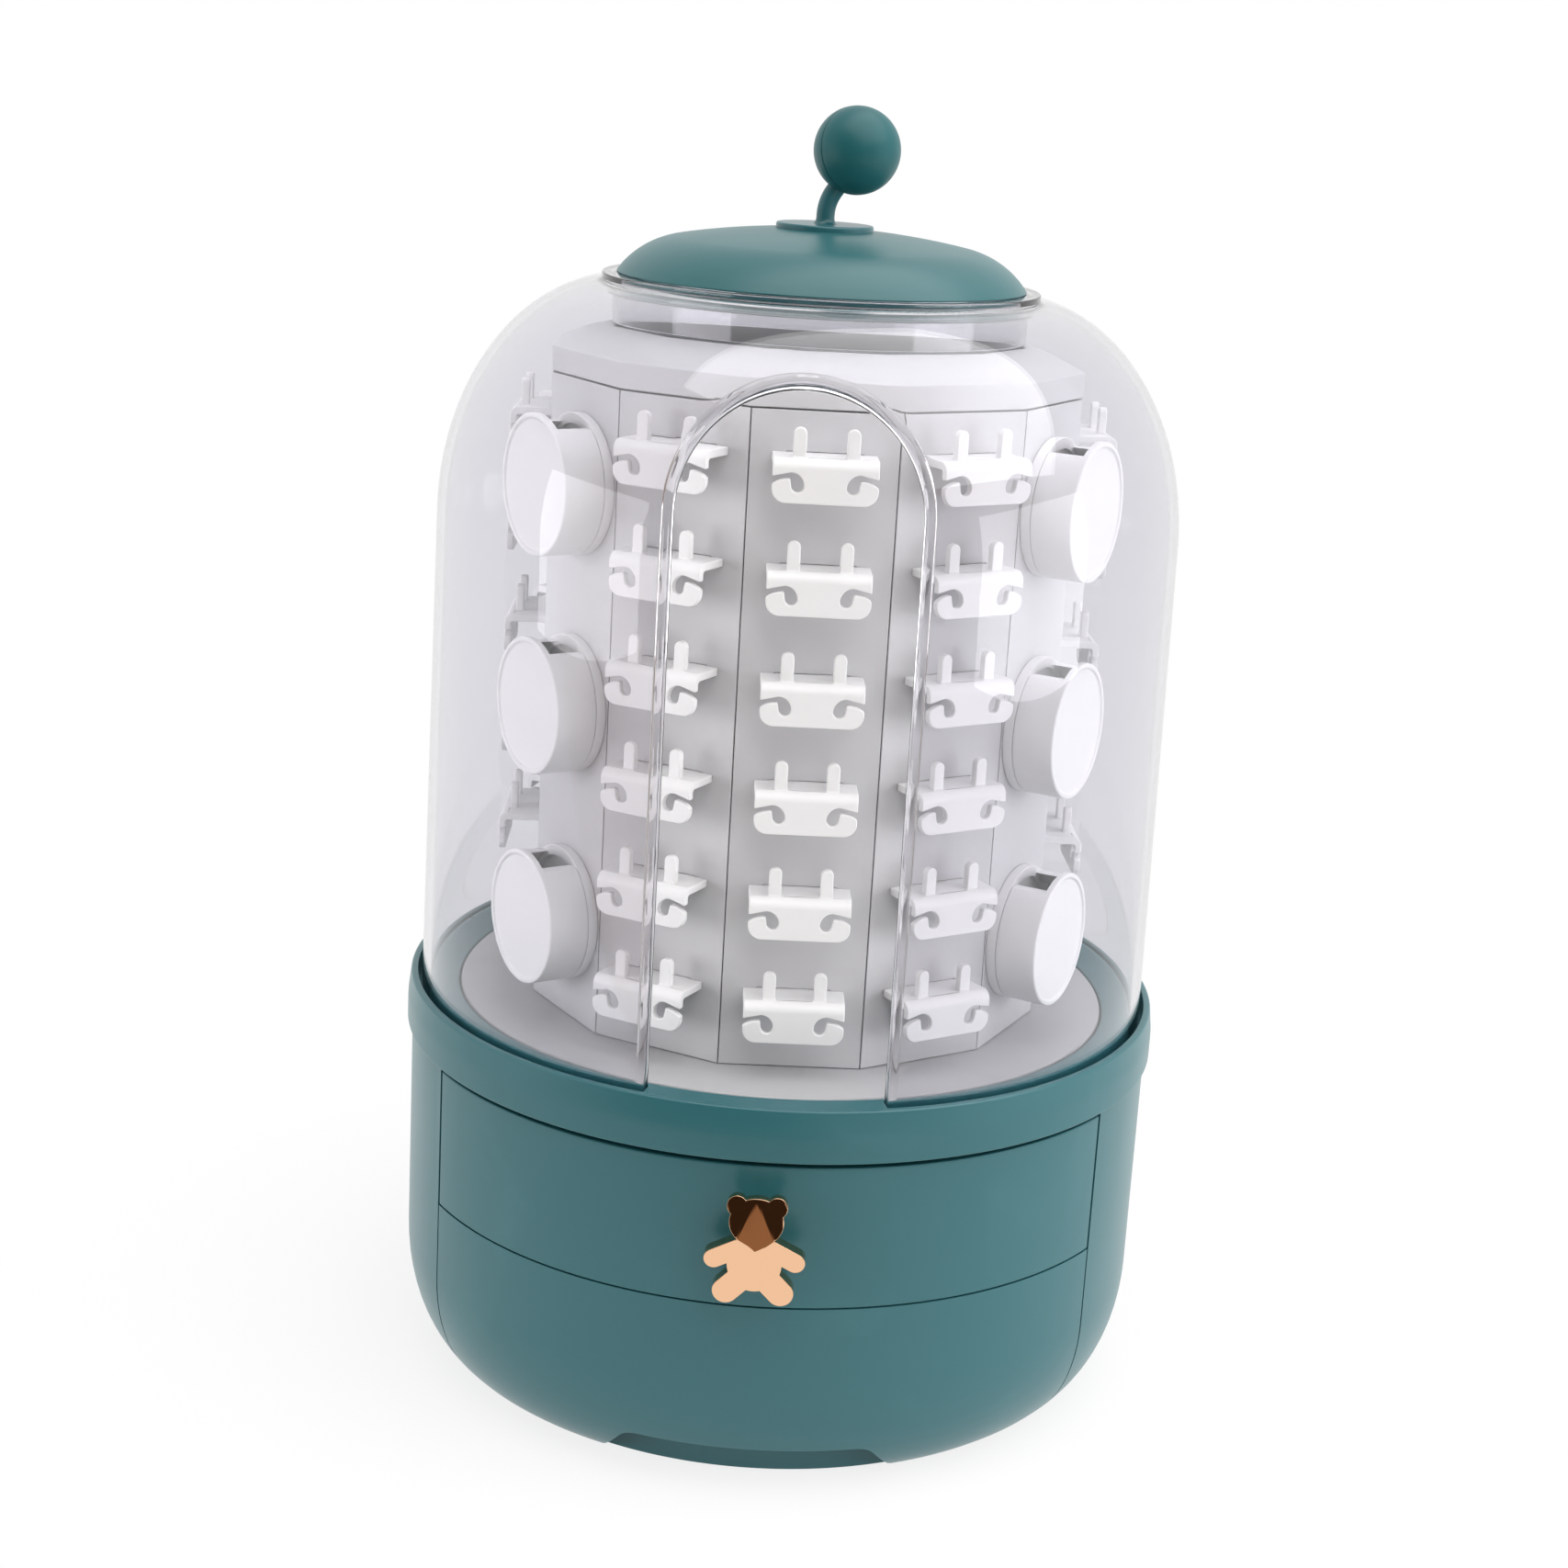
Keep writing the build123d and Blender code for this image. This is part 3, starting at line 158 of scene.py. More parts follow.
def swept(name, outline, start, end, steps):
    # runs a closed outline of (radius, level) part of the way round, with closed ends
    points, faces = [], []
    count = len(outline)
    for i in range(steps + 1):
        angle = start + (end - start) * i / steps
        points += [wallSpot(radius, angle, level) for radius, level in outline]
    for i in range(steps):
        for j in range(count):
            k = (j + 1) % count
            faces.append([i * count + j, (i + 1) * count + j, (i + 1) * count + k, i * count + k])
    faces.append(list(range(count)))
    faces.append([steps * count + j for j in range(count)])
    return fromPoints(name, points, faces)


def prism(name, outline, near, far):
    # an outline of (x, z) run along Y
    count = len(outline)
    points = [(x, near, z) for x, z in outline] + [(x, far, z) for x, z in outline]
    faces = [[i, (i + 1) % count, count + (i + 1) % count, count + i] for i in range(count)]
    faces += [list(range(count)), list(range(count, 2 * count))]
    return fromPoints(name, points, faces)


def block(left, right, near, far, low, high):
    corners = [(left, near), (right, near), (right, far), (left, far)]
    points = [(x, y, z) for z in (low, high) for x, y in corners]
    faces = [(0, 1, 2, 3), (4, 5, 6, 7), (0, 1, 5, 4), (1, 2, 6, 5), (2, 3, 7, 6), (3, 0, 4, 7)]
    return fromPoints("block", points, faces)


def rod(radius, low, high, x=0.0, y=0.0, steps=32):
    thing = turned("rod", [(0, low), (radius, low), (radius, high), (0, high)], steps)
    thing.data.transform(Matrix.Translation((x * mm, y * mm, 0)))
    return thing


def copied(name, *nodes):
    # a merged copy of the solids' meshes
    form = bmesh.new()
    for node in nodes:
        form.from_mesh(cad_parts[node].data)
    bmesh.ops.remove_doubles(form, verts=form.verts, dist=1e-6)
    bmesh.ops.dissolve_limit(form, angle_limit=radians(0.3), verts=form.verts, edges=form.edges)
    mesh = bpy.data.meshes.new(name)
    form.to_mesh(mesh)
    form.free()
    return addObject(name, mesh)


def place(thing, body, finish, slot, *nodes):
    # gives a finished piece its material, its body and the solids that it stands for
    thing.data.materials.clear()
    thing.data.materials.append(finish)
    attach(thing, body)
    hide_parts(*nodes)


def turnedPiece(name, corners, body, finish, slot, node, steps=160):
    thing = turned(name, softened(corners), steps)
    finishEdges(thing)
    place(thing, body, finish, slot, node)


def newTree(treeKind, name, inputs, outputs):
    # a node group; an input is (label, kind of socket, value) and an output (label, kind of socket)
    tree = bpy.data.node_groups.new(name, treeKind)
    for label, kind, value in inputs:
        kind = "NodeSocket" + kind
        socket = tree.interface.new_socket(name=label, in_out="INPUT", socket_type=kind)
        if value is not None:
            socket.default_value = value
    for label, kind in outputs:
        kind = "NodeSocket" + kind
        tree.interface.new_socket(name=label, in_out="OUTPUT", socket_type=kind)
    tree.nodes.new("NodeGroupInput")
    tree.nodes.new("NodeGroupOutput")
    return tree


def given(tree, label):
    return tree.nodes["Group Input"].outputs[label]


def wire(tree, kind, inputs, **settings):
    # adds a node, sets it up and joins its inputs
    node = tree.nodes.new(kind)
    for key, value in settings.items():
        setattr(node, key, value)
    for key, value in inputs.items():
        if isinstance(value, bpy.types.NodeSocket):
            tree.links.new(value, node.inputs[key])
        else:
            node.inputs[key].default_value = value
    return node


def calculate(tree, what, first, second=0.0):
    return wire(tree, "ShaderNodeMath", {0: first, 1: second}, operation=what).outputs[0]


def putOut(tree, **results):
    # joins results to the group's outputs
    for label, value in results.items():
        tree.links.new(value, tree.nodes["Group Output"].inputs[label])


def setOut(tree, points, turn, **more):
    # puts the form on the points, makes the copies real and gives them their material
    form = wire(tree, "GeometryNodeObjectInfo", {"Object": given(tree, "Form")})
    inputs = {"Points": points, "Instance": form.outputs["Geometry"], "Rotation": turn, **more}
    copies = wire(tree, "GeometryNodeInstanceOnPoints", inputs).outputs[0]
    solid = wire(tree, "GeometryNodeRealizeInstances", {"Geometry": copies}).outputs[0]
    inputs = {"Geometry": solid, "Material": given(tree, "Finish")}
    putOut(tree, Geometry=wire(tree, "GeometryNodeSetMaterial", inputs).outputs[0])
    return tree


def runTree(name, tree, base, values):
    # runs a tree on a mesh and keeps the result as a plain mesh
    thing = addObject(name, base)
    work = thing.modifiers.new("work", "NODES")
    work.node_group = tree
    for item in tree.interface.items_tree:
        if item.item_type == "SOCKET" and item.in_out == "INPUT" and item.name in values:
            work[item.identifier] = values[item.name]
    bake(thing)
    return thing


def drumRowsTree():
    # one form set out in rows and columns on the sides of a drum, on every side or only on some
    tree = newTree(
        "GeometryNodeTree",
        "drumRows",
        [
            ("Form", "Object", None),
            ("Finish", "Material", None),
            ("Sides", "Int", 12),
            ("Turn", "Float", 0.0),
            ("Reach", "Float", 0.067),
            ("Rows", "Int", 1),
            ("First Level", "Float", 0.0),
            ("Row Pitch", "Float", 0.0),
            ("Box Every", "Int", 4),
            ("Box Side", "Int", 2),
            ("On Box Sides", "Bool", False),
        ],
        [("Geometry", "Geometry")],
    )

    def work(what, first, second=0.0):
        return calculate(tree, what, first, second)

    number = wire(tree, "GeometryNodeInputIndex", {}).outputs[0]
    rows, reach = given(tree, "Rows"), given(tree, "Reach")
    side = work("FLOOR", work("DIVIDE", work("ADD", number, 0.5), rows))
    row = work("SUBTRACT", number, work("MULTIPLY", side, rows))
    step = work("DIVIDE", tau, given(tree, "Sides"))
    angle = work("ADD", given(tree, "Turn"), work("MULTIPLY", side, step))
    across = work("MULTIPLY", work("SINE", angle), reach)
    ahead = work("MULTIPLY", work("MULTIPLY", work("COSINE", angle), reach), -1.0)
    fall = work("MULTIPLY", row, given(tree, "Row Pitch"))
    level = work("SUBTRACT", given(tree, "First Level"), fall)
    spot = wire(tree, "ShaderNodeCombineXYZ", {0: across, 1: ahead, 2: level}).outputs[0]
    count = work("MULTIPLY", given(tree, "Sides"), rows)
    points = wire(tree, "GeometryNodePoints", {"Count": count, "Position": spot}).outputs[0]
    left = work("MODULO", side, given(tree, "Box Every"))
    inputs = {0: left, 1: given(tree, "Box Side"), 2: 0.1}
    isBox = wire(tree, "ShaderNodeMath", inputs, operation="COMPARE").outputs[0]
    inputs = {0: isBox, 1: given(tree, "On Box Sides")}
    wanted = wire(tree, "FunctionNodeBooleanMath", inputs, operation="XNOR").outputs[0]
    facing = wire(tree, "ShaderNodeCombineXYZ", {2: angle}).outputs[0]
    turn = wire(tree, "FunctionNodeEulerToRotation", {0: facing}).outputs[0]
    return setOut(tree, points, turn, Selection=wanted)


def screwTree():
    # screws on marked points, each turned along its mark and by chance about its own axis
    tree = newTree(
        "GeometryNodeTree",
        "screwSet",
        [
            ("Marks", "Geometry", None),
            ("Form", "Object", None),
            ("Finish", "Material", None),
            ("Seed", "Int", 7),
        ],
        [("Geometry", "Geometry")],
    )
    points = wire(tree, "GeometryNodeMeshToPoints", {"Mesh": given(tree, "Marks")}).outputs[0]
    mark = wire(
        tree, "GeometryNodeInputNamedAttribute", {"Name": "axis"}, data_type="FLOAT_VECTOR"
    ).outputs["Attribute"]
    inputs = {"Min": 0.0, "Max": tau, "Seed": given(tree, "Seed")}
    spin = wire(tree, "FunctionNodeRandomValue", inputs, data_type="FLOAT").outputs["Value"]
    about = wire(tree, "ShaderNodeCombineXYZ", {2: spin}).outputs[0]
    start = wire(tree, "FunctionNodeEulerToRotation", {0: about}).outputs[0]
    inputs = {"Rotation": start, "Vector": mark}
    turn = wire(tree, "FunctionNodeAlignRotationToVector", inputs, axis="Z").outputs[0]
    return setOut(tree, points, turn)


drumRows = drumRowsTree()
screwSet = screwTree()


grainLook = {"fineScale": 900.0, "fineShare": 0.25, "depth": 0.0002}
scuffLook = {"detail": 4.0, "distortion": 1.2, "from": 0.58, "to": 0.74}


def grainGroup():
    # the slight waviness and fine grain of moulded plastic
    group = newTree(
        "ShaderNodeTree",
        "mouldGrain",
        [
            ("Roughness", "Float", 0.3),
            ("Spread", "Float", 0.05),
            ("Scale", "Float", 40.0),
            ("Fine Scale", "Float", 900.0),
        ],
        [("Roughness", "Float"), ("Height", "Float")],
    )
    where = wire(group, "ShaderNodeTexCoord", {}).outputs["Object"]
    inputs = {"Vector": where, "Scale": given(group, "Scale"), "Detail": 2.0}
    wave = wire(group, "ShaderNodeTexNoise", inputs).outputs["Fac"]
    inputs = {"Vector": where, "Scale": given(group, "Fine Scale"), "Detail": 1.0}
    fine = wire(group, "ShaderNodeTexNoise", inputs).outputs["Fac"]
    lean = calculate(group, "SUBTRACT", wave, 0.5)
    lean = calculate(group, "MULTIPLY", lean, given(group, "Spread"))
    rough = calculate(group, "ADD", given(group, "Roughness"), lean)
    fine = calculate(group, "MULTIPLY", fine, grainLook["fineShare"])
    putOut(group, Roughness=rough, Height=calculate(group, "ADD", wave, fine))
    return group


def scuffGroup():
    # faint rubbed patches that a handled surface picks up
    inputs = [("Scale", "Float", 30.0), ("Amount", "Float", 0.5)]
    group = newTree("ShaderNodeTree", "handledScuffs", inputs, [("Mask", "Float")])
    inputs = {
        "Vector": wire(group, "ShaderNodeTexCoord", {}).outputs["Object"],
        "Scale": given(group, "Scale"),
        "Detail": scuffLook["detail"],
        "Distortion": scuffLook["distortion"],
    }
    blot = wire(group, "ShaderNodeTexNoise", inputs).outputs["Fac"]
    band = {"Value": blot, "From Min": scuffLook["from"], "From Max": scuffLook["to"]}
    band = wire(group, "ShaderNodeMapRange", band).outputs["Result"]
    putOut(group, Mask=calculate(group, "MULTIPLY", band, given(group, "Amount")))
    return group


mouldGrain = grainGroup()
handledScuffs = scuffGroup()


def newFinish(name, colour, roughness, **settings):
    # a principled material with plain values
    finish = bpy.data.materials.new(name)
    finish.use_nodes = True
    shader = finish.node_tree.nodes["Principled BSDF"]
    shader.inputs["Base Color"].default_value = (*colour, 1.0)
    shader.inputs["Roughness"].default_value = roughness
    for key, value in settings.items():
        shader.inputs[key.replace("_", " ")].default_value = value
    finish.diffuse_color = (*colour, 1.0)
    return finish, finish.node_tree, shader


def addGrain(tree, shader, roughness, spread, scale, strength):
    inputs = {
        "Roughness": roughness,
        "Spread": spread,
        "Scale": scale,
        "Fine Scale": grainLook["fineScale"],
    }
    grain = wire(tree, "ShaderNodeGroup", inputs, node_tree=mouldGrain).outputs
    inputs = {"Strength": strength, "Distance": grainLook["depth"], "Height": grain["Height"]}
    bump = wire(tree, "ShaderNodeBump", inputs).outputs[0]
    tree.links.new(grain["Roughness"], shader.inputs["Roughness"])
    tree.links.new(bump, shader.inputs["Normal"])


def addScuffs(tree, shader, colour, rubbed, scale, amount):
    # mixes a rubbed tone into the colour where the scuffs are
    inputs = {"Scale": scale, "Amount": amount}
    mask = wire(tree, "ShaderNodeGroup", inputs, node_tree=handledScuffs).outputs["Mask"]
    inputs = {0: mask, 6: (*colour, 1.0), 7: (*rubbed, 1.0)}
    mix = wire(tree, "ShaderNodeMix", inputs, data_type="RGBA").outputs[2]
    tree.links.new(mix, shader.inputs["Base Color"])


def grainedFinish(name, colour, roughness, grain, **settings):
    # one colour all over; grain is (spread, scale, strength)
    finish, tree, shader = newFinish(name, colour, roughness, **settings)
    addGrain(tree, shader, roughness, *grain)
    return finish


def handledFinish(name, colour, rubbed, roughness, grain, scuffs, **settings):
    # two tones; scuffs is (scale, amount)
    finish, tree, shader = newFinish(name, colour, roughness, **settings)
    addGrain(tree, shader, roughness, *grain)
    addScuffs(tree, shader, colour, rubbed, *scuffs)
    return finish


greenLook = {
    "tub": (0.026, 0.122, 0.139),
    "tubRubbed": (0.036, 0.141, 0.158),
    "tubRoughness": 0.30,
    "lid": (0.019, 0.109, 0.119),
    "lidRubbed": (0.024, 0.118, 0.127),
    "lidRoughness": 0.36,
    # the ball's tones are darker than the lid's: painted shade for the shade that falls on the ball
    "ball": (0.012, 0.097, 0.106),
    "ballRubbed": (0.016, 0.105, 0.114),
    "ballRoughness": 0.38,
    "inner": (0.045, 0.150, 0.160),
    "innerRubbed": (0.036, 0.141, 0.158),
    "innerRoughness": 0.45,
    "spread": 0.10,
    "scale": 26.0,
    "scuffs": (22.0, 0.5),
}


def greenFinish(part, bump, **settings):
    look = greenLook
    grain = (look["spread"], look["scale"], bump)
    tones = look[part], look[part + "Rubbed"], look[part + "Roughness"]
    return handledFinish(part + "Green", *tones, grain, look["scuffs"], **settings)


tubGreen = greenFinish("tub", 0.10)
lidGreen = greenFinish("lid", 0.12)
# a darker copy of the lid's green: painted shade on the ball
ballShadedGreen = greenFinish("ball", 0.12, Specular_IOR_Level=0.32)
innerGreen = greenFinish("inner", 0.2)

paleLook = {
    "hook": (0.80, 0.80, 0.80),
    "drum": (0.57, 0.57, 0.58),
    "disc": (0.48, 0.48, 0.49),
    "grain": (0.08, 34.0, 0.10),
    "scuffs": (40.0, 0.6),
}


def paleFinish(name, part, roughness, rubbedShare):
    colour = paleLook[part]
    rubbed = tuple(c * rubbedShare for c in colour)
    return handledFinish(name, colour, rubbed, roughness, paleLook["grain"], paleLook["scuffs"])


hookWhite = paleFinish("hookWhite", "hook", 0.38, 0.97)
drumGrey = paleFinish("drumGrey", "drum", 0.42, 0.96)
discGrey = paleFinish("discGrey", "disc", 0.40, 0.88)

clearLook = {
    "colour": (0.82, 0.815, 0.845),
    "roughness": 0.0,
    "bend": 1.49,
    "shadow": (0.93, 0.93, 0.95),
}


def clearFinish():
    # clear plastic that lets the lamps through
    look = clearLook
    plain = {"Transmission_Weight": 1.0, "IOR": look["bend"]}
    finish, tree, shader = newFinish("clearDome", look["colour"], look["roughness"], **plain)
    rays = wire(tree, "ShaderNodeLightPath", {})
    passing = wire(tree, "ShaderNodeBsdfTransparent", {"Color": (*look["shadow"], 1.0)})
    mix = wire(tree, "ShaderNodeMixShader", {0: rays.outputs["Is Shadow Ray"]})
    tree.links.new(shader.outputs[0], mix.inputs[1])
    tree.links.new(passing.outputs[0], mix.inputs[2])
    tree.links.new(mix.outputs[0], tree.nodes["Material Output"].inputs["Surface"])
    return finish


clearDome = clearFinish()

roseGold = grainedFinish("roseGold", (0.88, 0.54, 0.33), 0.05, (0.03, 90.0, 0.03), Metallic=1.0)
screwSteel = grainedFinish("screwSteel", (0.60, 0.60, 0.61), 0.28, (0.10, 400.0, 0.1), Metallic=1.0)
softSilicone = grainedFinish("softSilicone", (0.74, 0.74, 0.75), 0.5, (0.08, 60.0, 0.2))
footRubber = grainedFinish("footRubber", (0.03, 0.03, 0.03), 0.75, (0.15, 120.0, 0.5))
waxyPlastic = grainedFinish("waxyPlastic", (0.78, 0.78, 0.75), 0.42, (0.08, 60.0, 0.12))

print("finishes made:", len(bpy.data.materials))


tub = {
    "radius": 100.5,
    "wall": 2.8,
    "foot": 1.5,  # the pad holds the tub off the table
    "edgeCentre": (83.8, 32.5),
    "edgeReach": (16.7, 31.0),
    "top": 92.5,
    "padRadius": 64.1,
    "padRecess": 2.3,
    "windowHalf": 58.0,  # degrees each side of the front
    "windowFloor": 77.7,
    "screwSpots": ((72.0, 20.0), (72.0, -20.0), (-72.0, 20.0), (-72.0, -20.0)),
    "headHole": (2.9, 0, 3.2),  # radius, foot and top
    "shankHole": (1.55, 3.0, 6.0),
}


def edgeArc(inset, steps=14):
    # the rounded lower edge, from the underside to the wall
    (across, up), (wide, high) = tub["edgeCentre"], tub["edgeReach"]
    turns = [-pi / 2 + pi / 2 * k / steps for k in range(steps + 1)]
    return [(across + (wide - inset) * cos(t), up + (high - inset) * sin(t)) for t in turns]


def makeTub():
    inner = tub["radius"] - tub["wall"]
    outline = [(0, tub["padRecess"]), (tub["padRadius"], tub["padRecess"])]
    outline += [(tub["padRadius"], tub["foot"]), (tub["windowFloor"], tub["foot"])]
    outer = len(outline) - 1
    outline += edgeArc(0) + [
        (tub["radius"], tub["top"] - 0.5),
        (tub["radius"] - 0.15, tub["top"] - 0.12),
        (tub["radius"] - 0.5, tub["top"]),
        (inner + 0.3, tub["top"]),
        (inner, tub["top"] - 0.3),
    ]
    outline += edgeArc(tub["wall"])[::-1]
    outline += [(tub["windowFloor"], tub["foot"] + tub["wall"]), (0, tub["foot"] + tub["wall"])]
    inside = len(outline) - 2
    half = radians(tub["windowHalf"])
    windowSteps, wallSteps = 62, 130
    angles = [-half + 2 * half * k / windowSteps for k in range(windowSteps + 1)]
    angles += [half + (tau - 2 * half) * k / wallSteps for k in range(1, wallSteps)]
    count = len(outline)
    points = [wallSpot(radius, angle, level) for angle in angles for radius, level in outline]
    faces = []
    for i in range(len(angles)):
        here, beyond = i * count, (i + 1) % len(angles) * count
        for j in range(count - 1):
            if i < windowSteps and outer <= j < inside:
                continue
            faces.append([here + j, beyond + j, beyond + j + 1, here + j + 1])
        if i < windowSteps:
            faces.append([here + outer, beyond + outer, beyond + inside, here + inside])
    for column in (0, windowSteps):
        faces.append([column * count + j for j in range(outer, inside + 1)])
    thing = fromPoints("tub", points, faces)
    for x, y in tub["screwSpots"]:
        carve(thing, rod(*tub["headHole"], x, y))
        carve(thing, rod(*tub["shankHole"], x, y))
    finishEdges(thing, 0.3)
    place(thing, "base", tubGreen, "green_body", "base_shell")


makeTub()
pad = {"radius": 64, "top": 2.25, "edge": 0.5}
corners = [(0, 0), (pad["radius"], 0, pad["edge"]), (pad["radius"], pad["top"]), (0, pad["top"])]
turnedPiece("footPad", corners, "base", footRubber, "dark_rubber", "base_pad")
print("tub made")


ring = {
    "radius": 101.8,
    "lip": 101.0,
    "bottom": 92.5,
    "straightTop": 99.5,
    "top": 106.0,
    "grooveOuter": 99.2,
    "grooveInner": 95.6,
    "grooveFloor": 99.5,
    "collarTop": 106.4,
    "collarEdge": 94.8,
    "recess": 88.1,
    "recessTop": 103.7,
    "deckTop": 97.5,
    "deckBottom": 95.0,
    "skirtOuter": 97.4,
    "skirtInner": 95.4,
    "skirtBottom": 88.5,
    "grooveUnder": 97.0,
    "grooveBack": 93.3,
    "collarUnder": 103.2,
    "recessBack": 90.4,
    "recessUnder": 102.0,
    "windowBack": 95.0,
    "windowFace": 97.8,
    "windowFoot": 80.0,
    "hub": (12.0, 99.5),
    "bore": 5.05,
    "sillHalf": 29.0,
}


def makeRing():
    r = ring
    outline = softened(
        [
            (r["recess"], r["deckTop"], 0.4),
            (r["recess"], r["recessTop"], 0.5),
            (r["collarEdge"], r["collarTop"], 0.4),
            (r["grooveInner"], r["collarTop"], 0.4),
            (r["grooveInner"], r["grooveFloor"]),
            (r["grooveOuter"], r["grooveFloor"]),
            (r["grooveOuter"], r["top"], 0.3),
            (r["lip"], r["top"], 0.7),
            (r["radius"], r["straightTop"], 1.5),
            (r["radius"], r["bottom"], 0.5),
            (r["skirtOuter"], r["bottom"]),
            (r["skirtOuter"], r["skirtBottom"], 0.3),
            (r["skirtInner"], r["skirtBottom"], 0.3),
            (r["skirtInner"], r["grooveUnder"]),
            (r["grooveBack"], r["grooveUnder"]),
            (r["grooveBack"], r["collarUnder"]),
            (r["recessBack"], r["recessUnder"]),
            (r["recessBack"], r["deckBottom"]),
            (r["bore"], r["deckBottom"]),
            (r["bore"], r["hub"][1]),
            (r["hub"][0], r["hub"][1], 0.4),
            (r["hub"][0], r["deckTop"]),
        ]
    )
    thing = turned("topRing", outline, 192)
    half = radians(tub["windowHalf"] + 2)
    back, face, foot, top = r["windowBack"], r["windowFace"], r["windowFoot"], r["bottom"] - 0.001
    window = [(back, foot), (face, foot), (face, top), (back, top)]
    carve(thing, swept("window", window, -half, half, 64))
    # the sill closes the groove across the doorway
    lean = asin(r["sillHalf"] * 2 / (r["grooveOuter"] + r["grooveInner"]))
    sill = softened(
        [
            (r["grooveInner"] - 0.4, r["grooveFloor"]),
            (r["grooveOuter"] + 0.4, r["grooveFloor"]),
            (r["grooveOuter"] + 0.4, r["top"] + 0.005),
            (r["grooveInner"] - 0.4, r["collarTop"] + 0.005),
        ]
    )
    sill = swept("sill", sill, -lean, lean, 24)
    finishEdges(sill, 0.25)
    finishEdges(thing)
    thing = join("topRing", [thing, sill])
    finishEdges(thing)
    place(thing, "base", tubGreen, "green_body", "top_ring")


makeRing()
print("ring made")


drawer = {
    "half": 57.65,
    "wall": 3.0,
    "face": 100.5,
    "split": 53.8,
    "gap": 0.3,
    "top": 91.1,
    "lip": 78.2,
    "notch": ((-39.63, -1.0), (-30.8, 13.0), (30.8, 13.0), (39.63, -1.0)),
    "notchCorner": 3.0,
    "notchBack": 85.9,  # radius of the wall that closes the space behind the notch
    "backWall": 1.9,
    "backHalf": 27.7,
    "backFoot": 2.5,
    "backTop": 17.9,
    "edge": 0.45,
}


def makeFronts():
    d = drawer
    half = radians(d["half"])
    low, high = d["split"] + d["gap"] / 2, d["top"]
    face, inner = d["face"], d["face"] - d["wall"]
    outline = [(inner, low), (face, low), (face, high), (inner, high)]
    upper = swept("upperFront", outline, -half, half, 64)
    finishEdges(upper, d["edge"], 3)
    place(upper, "upper_drawer", tubGreen, "green_body", "upper_drawer_front")
    high = d["split"] - d["gap"] / 2
    outline = [(d["lip"], tub["foot"])] + edgeArc(0) + [(face, high), (inner, high)]
    outline += edgeArc(d["wall"])[::-1] + [(d["lip"], tub["foot"] + d["wall"])]
    lower = swept("lowerFront", outline, -half, half, 64)
    (a, b, c, e), corner = d["notch"], d["notchCorner"]
    notch = softened([a, (*b, corner), (*c, corner), e], 5)
    cutter = prism("notch", notch, -120, -40)
    carve(cutter, rod(d["notchBack"], -5, 40, steps=256))
    inner, outer, foot = d["notchBack"] - d["backWall"], d["notchBack"], d["backFoot"]
    back = [(inner, foot), (outer, foot), (outer, d["backTop"]), (inner, d["backTop"])]
    half = radians(d["backHalf"])
    carve(lower, swept("fingerBack", back, -half, half, 48), "UNION")
    carve(lower, cutter)
    finishEdges(lower, d["edge"], 3)
    place(lower, "lower_drawer", tubGreen, "green_body", "lower_drawer_front")


makeFronts()

for name, node, body, edge in (
    ("upperTray", "upper_drawer_tray", "upper_drawer", 0.4),
    ("lowerTray", "lower_drawer_tray", "lower_drawer", 0.4),
    ("drawerFrame", "drawer_frame", "base", 0.3),
):
    thing = copied(name, node)
    finishEdges(thing, edge)
    slot = "frame_plastic" if node == "drawer_frame" else "tray_plastic"
    place(thing, body, innerGreen, slot, node)
print("drawers made")


knob = {
    "front": -110.0,
    "back": -105.0,
    "step": 1.0,
    "round": 0.5,
    "chin": 72.2,  # the lowest point of the head's facets
    "chinFan": 0.85,  # how fast the facets' lower edge rises to the sides
    "lean": 0.09,  # how far the facets lean back
    "brow": 84.2,  # where the two upper facets meet
    "browFan": 1.6,
    "browLean": 0.08,
    "faceDepth": 1.6,  # only what lies this near the front leans back
    "mirrorDepth": 2.2,
}


def overChin(spot):
    return spot.z - knob["chin"] - knob["chinFan"] * abs(spot.x)


def overBrow(spot):
    return spot.z - knob["brow"] + knob["browFan"] * abs(spot.x)


def isMirror(face):
    # the flat faces on the front of the knob
    return face.normal.y < -0.965 and face.center.y / mm < knob["front"] + knob["mirrorDepth"]


def flatFront(form):
    # the front loses its step and runs out to the outline
    level = (knob["front"] + knob["step"]) * mm
    faces = [f for f in form.faces if all(v.co.y < level + 1e-5 for v in f.verts)]
    bmesh.ops.delete(form, geom=faces, context="FACES")
    rim = [e for e in form.edges if e.is_boundary]
    rim = [e for e in rim if all(abs(v.co.y - level) < 1e-5 for v in e.verts)]
    for v in {v for e in rim for v in e.verts}:
        v.co.y = knob["front"] * mm
    bmesh.ops.contextual_create(form, geom=rim)


def slopedBack(form):
    # the step at the back becomes a slope
    level = (knob["back"] - knob["step"]) * mm
    edge = {
        (round(v.co.x, 6), round(v.co.z, 6))
        for v in form.verts
        if abs(v.co.y - knob["back"] * mm) < 1e-5
    }
    for v in form.verts:
        if abs(v.co.y - level) < 1e-5 and (round(v.co.x, 6), round(v.co.z, 6)) in edge:
            v.co.y = knob["back"] * mm
    bmesh.ops.remove_doubles(form, verts=form.verts, dist=1e-6)


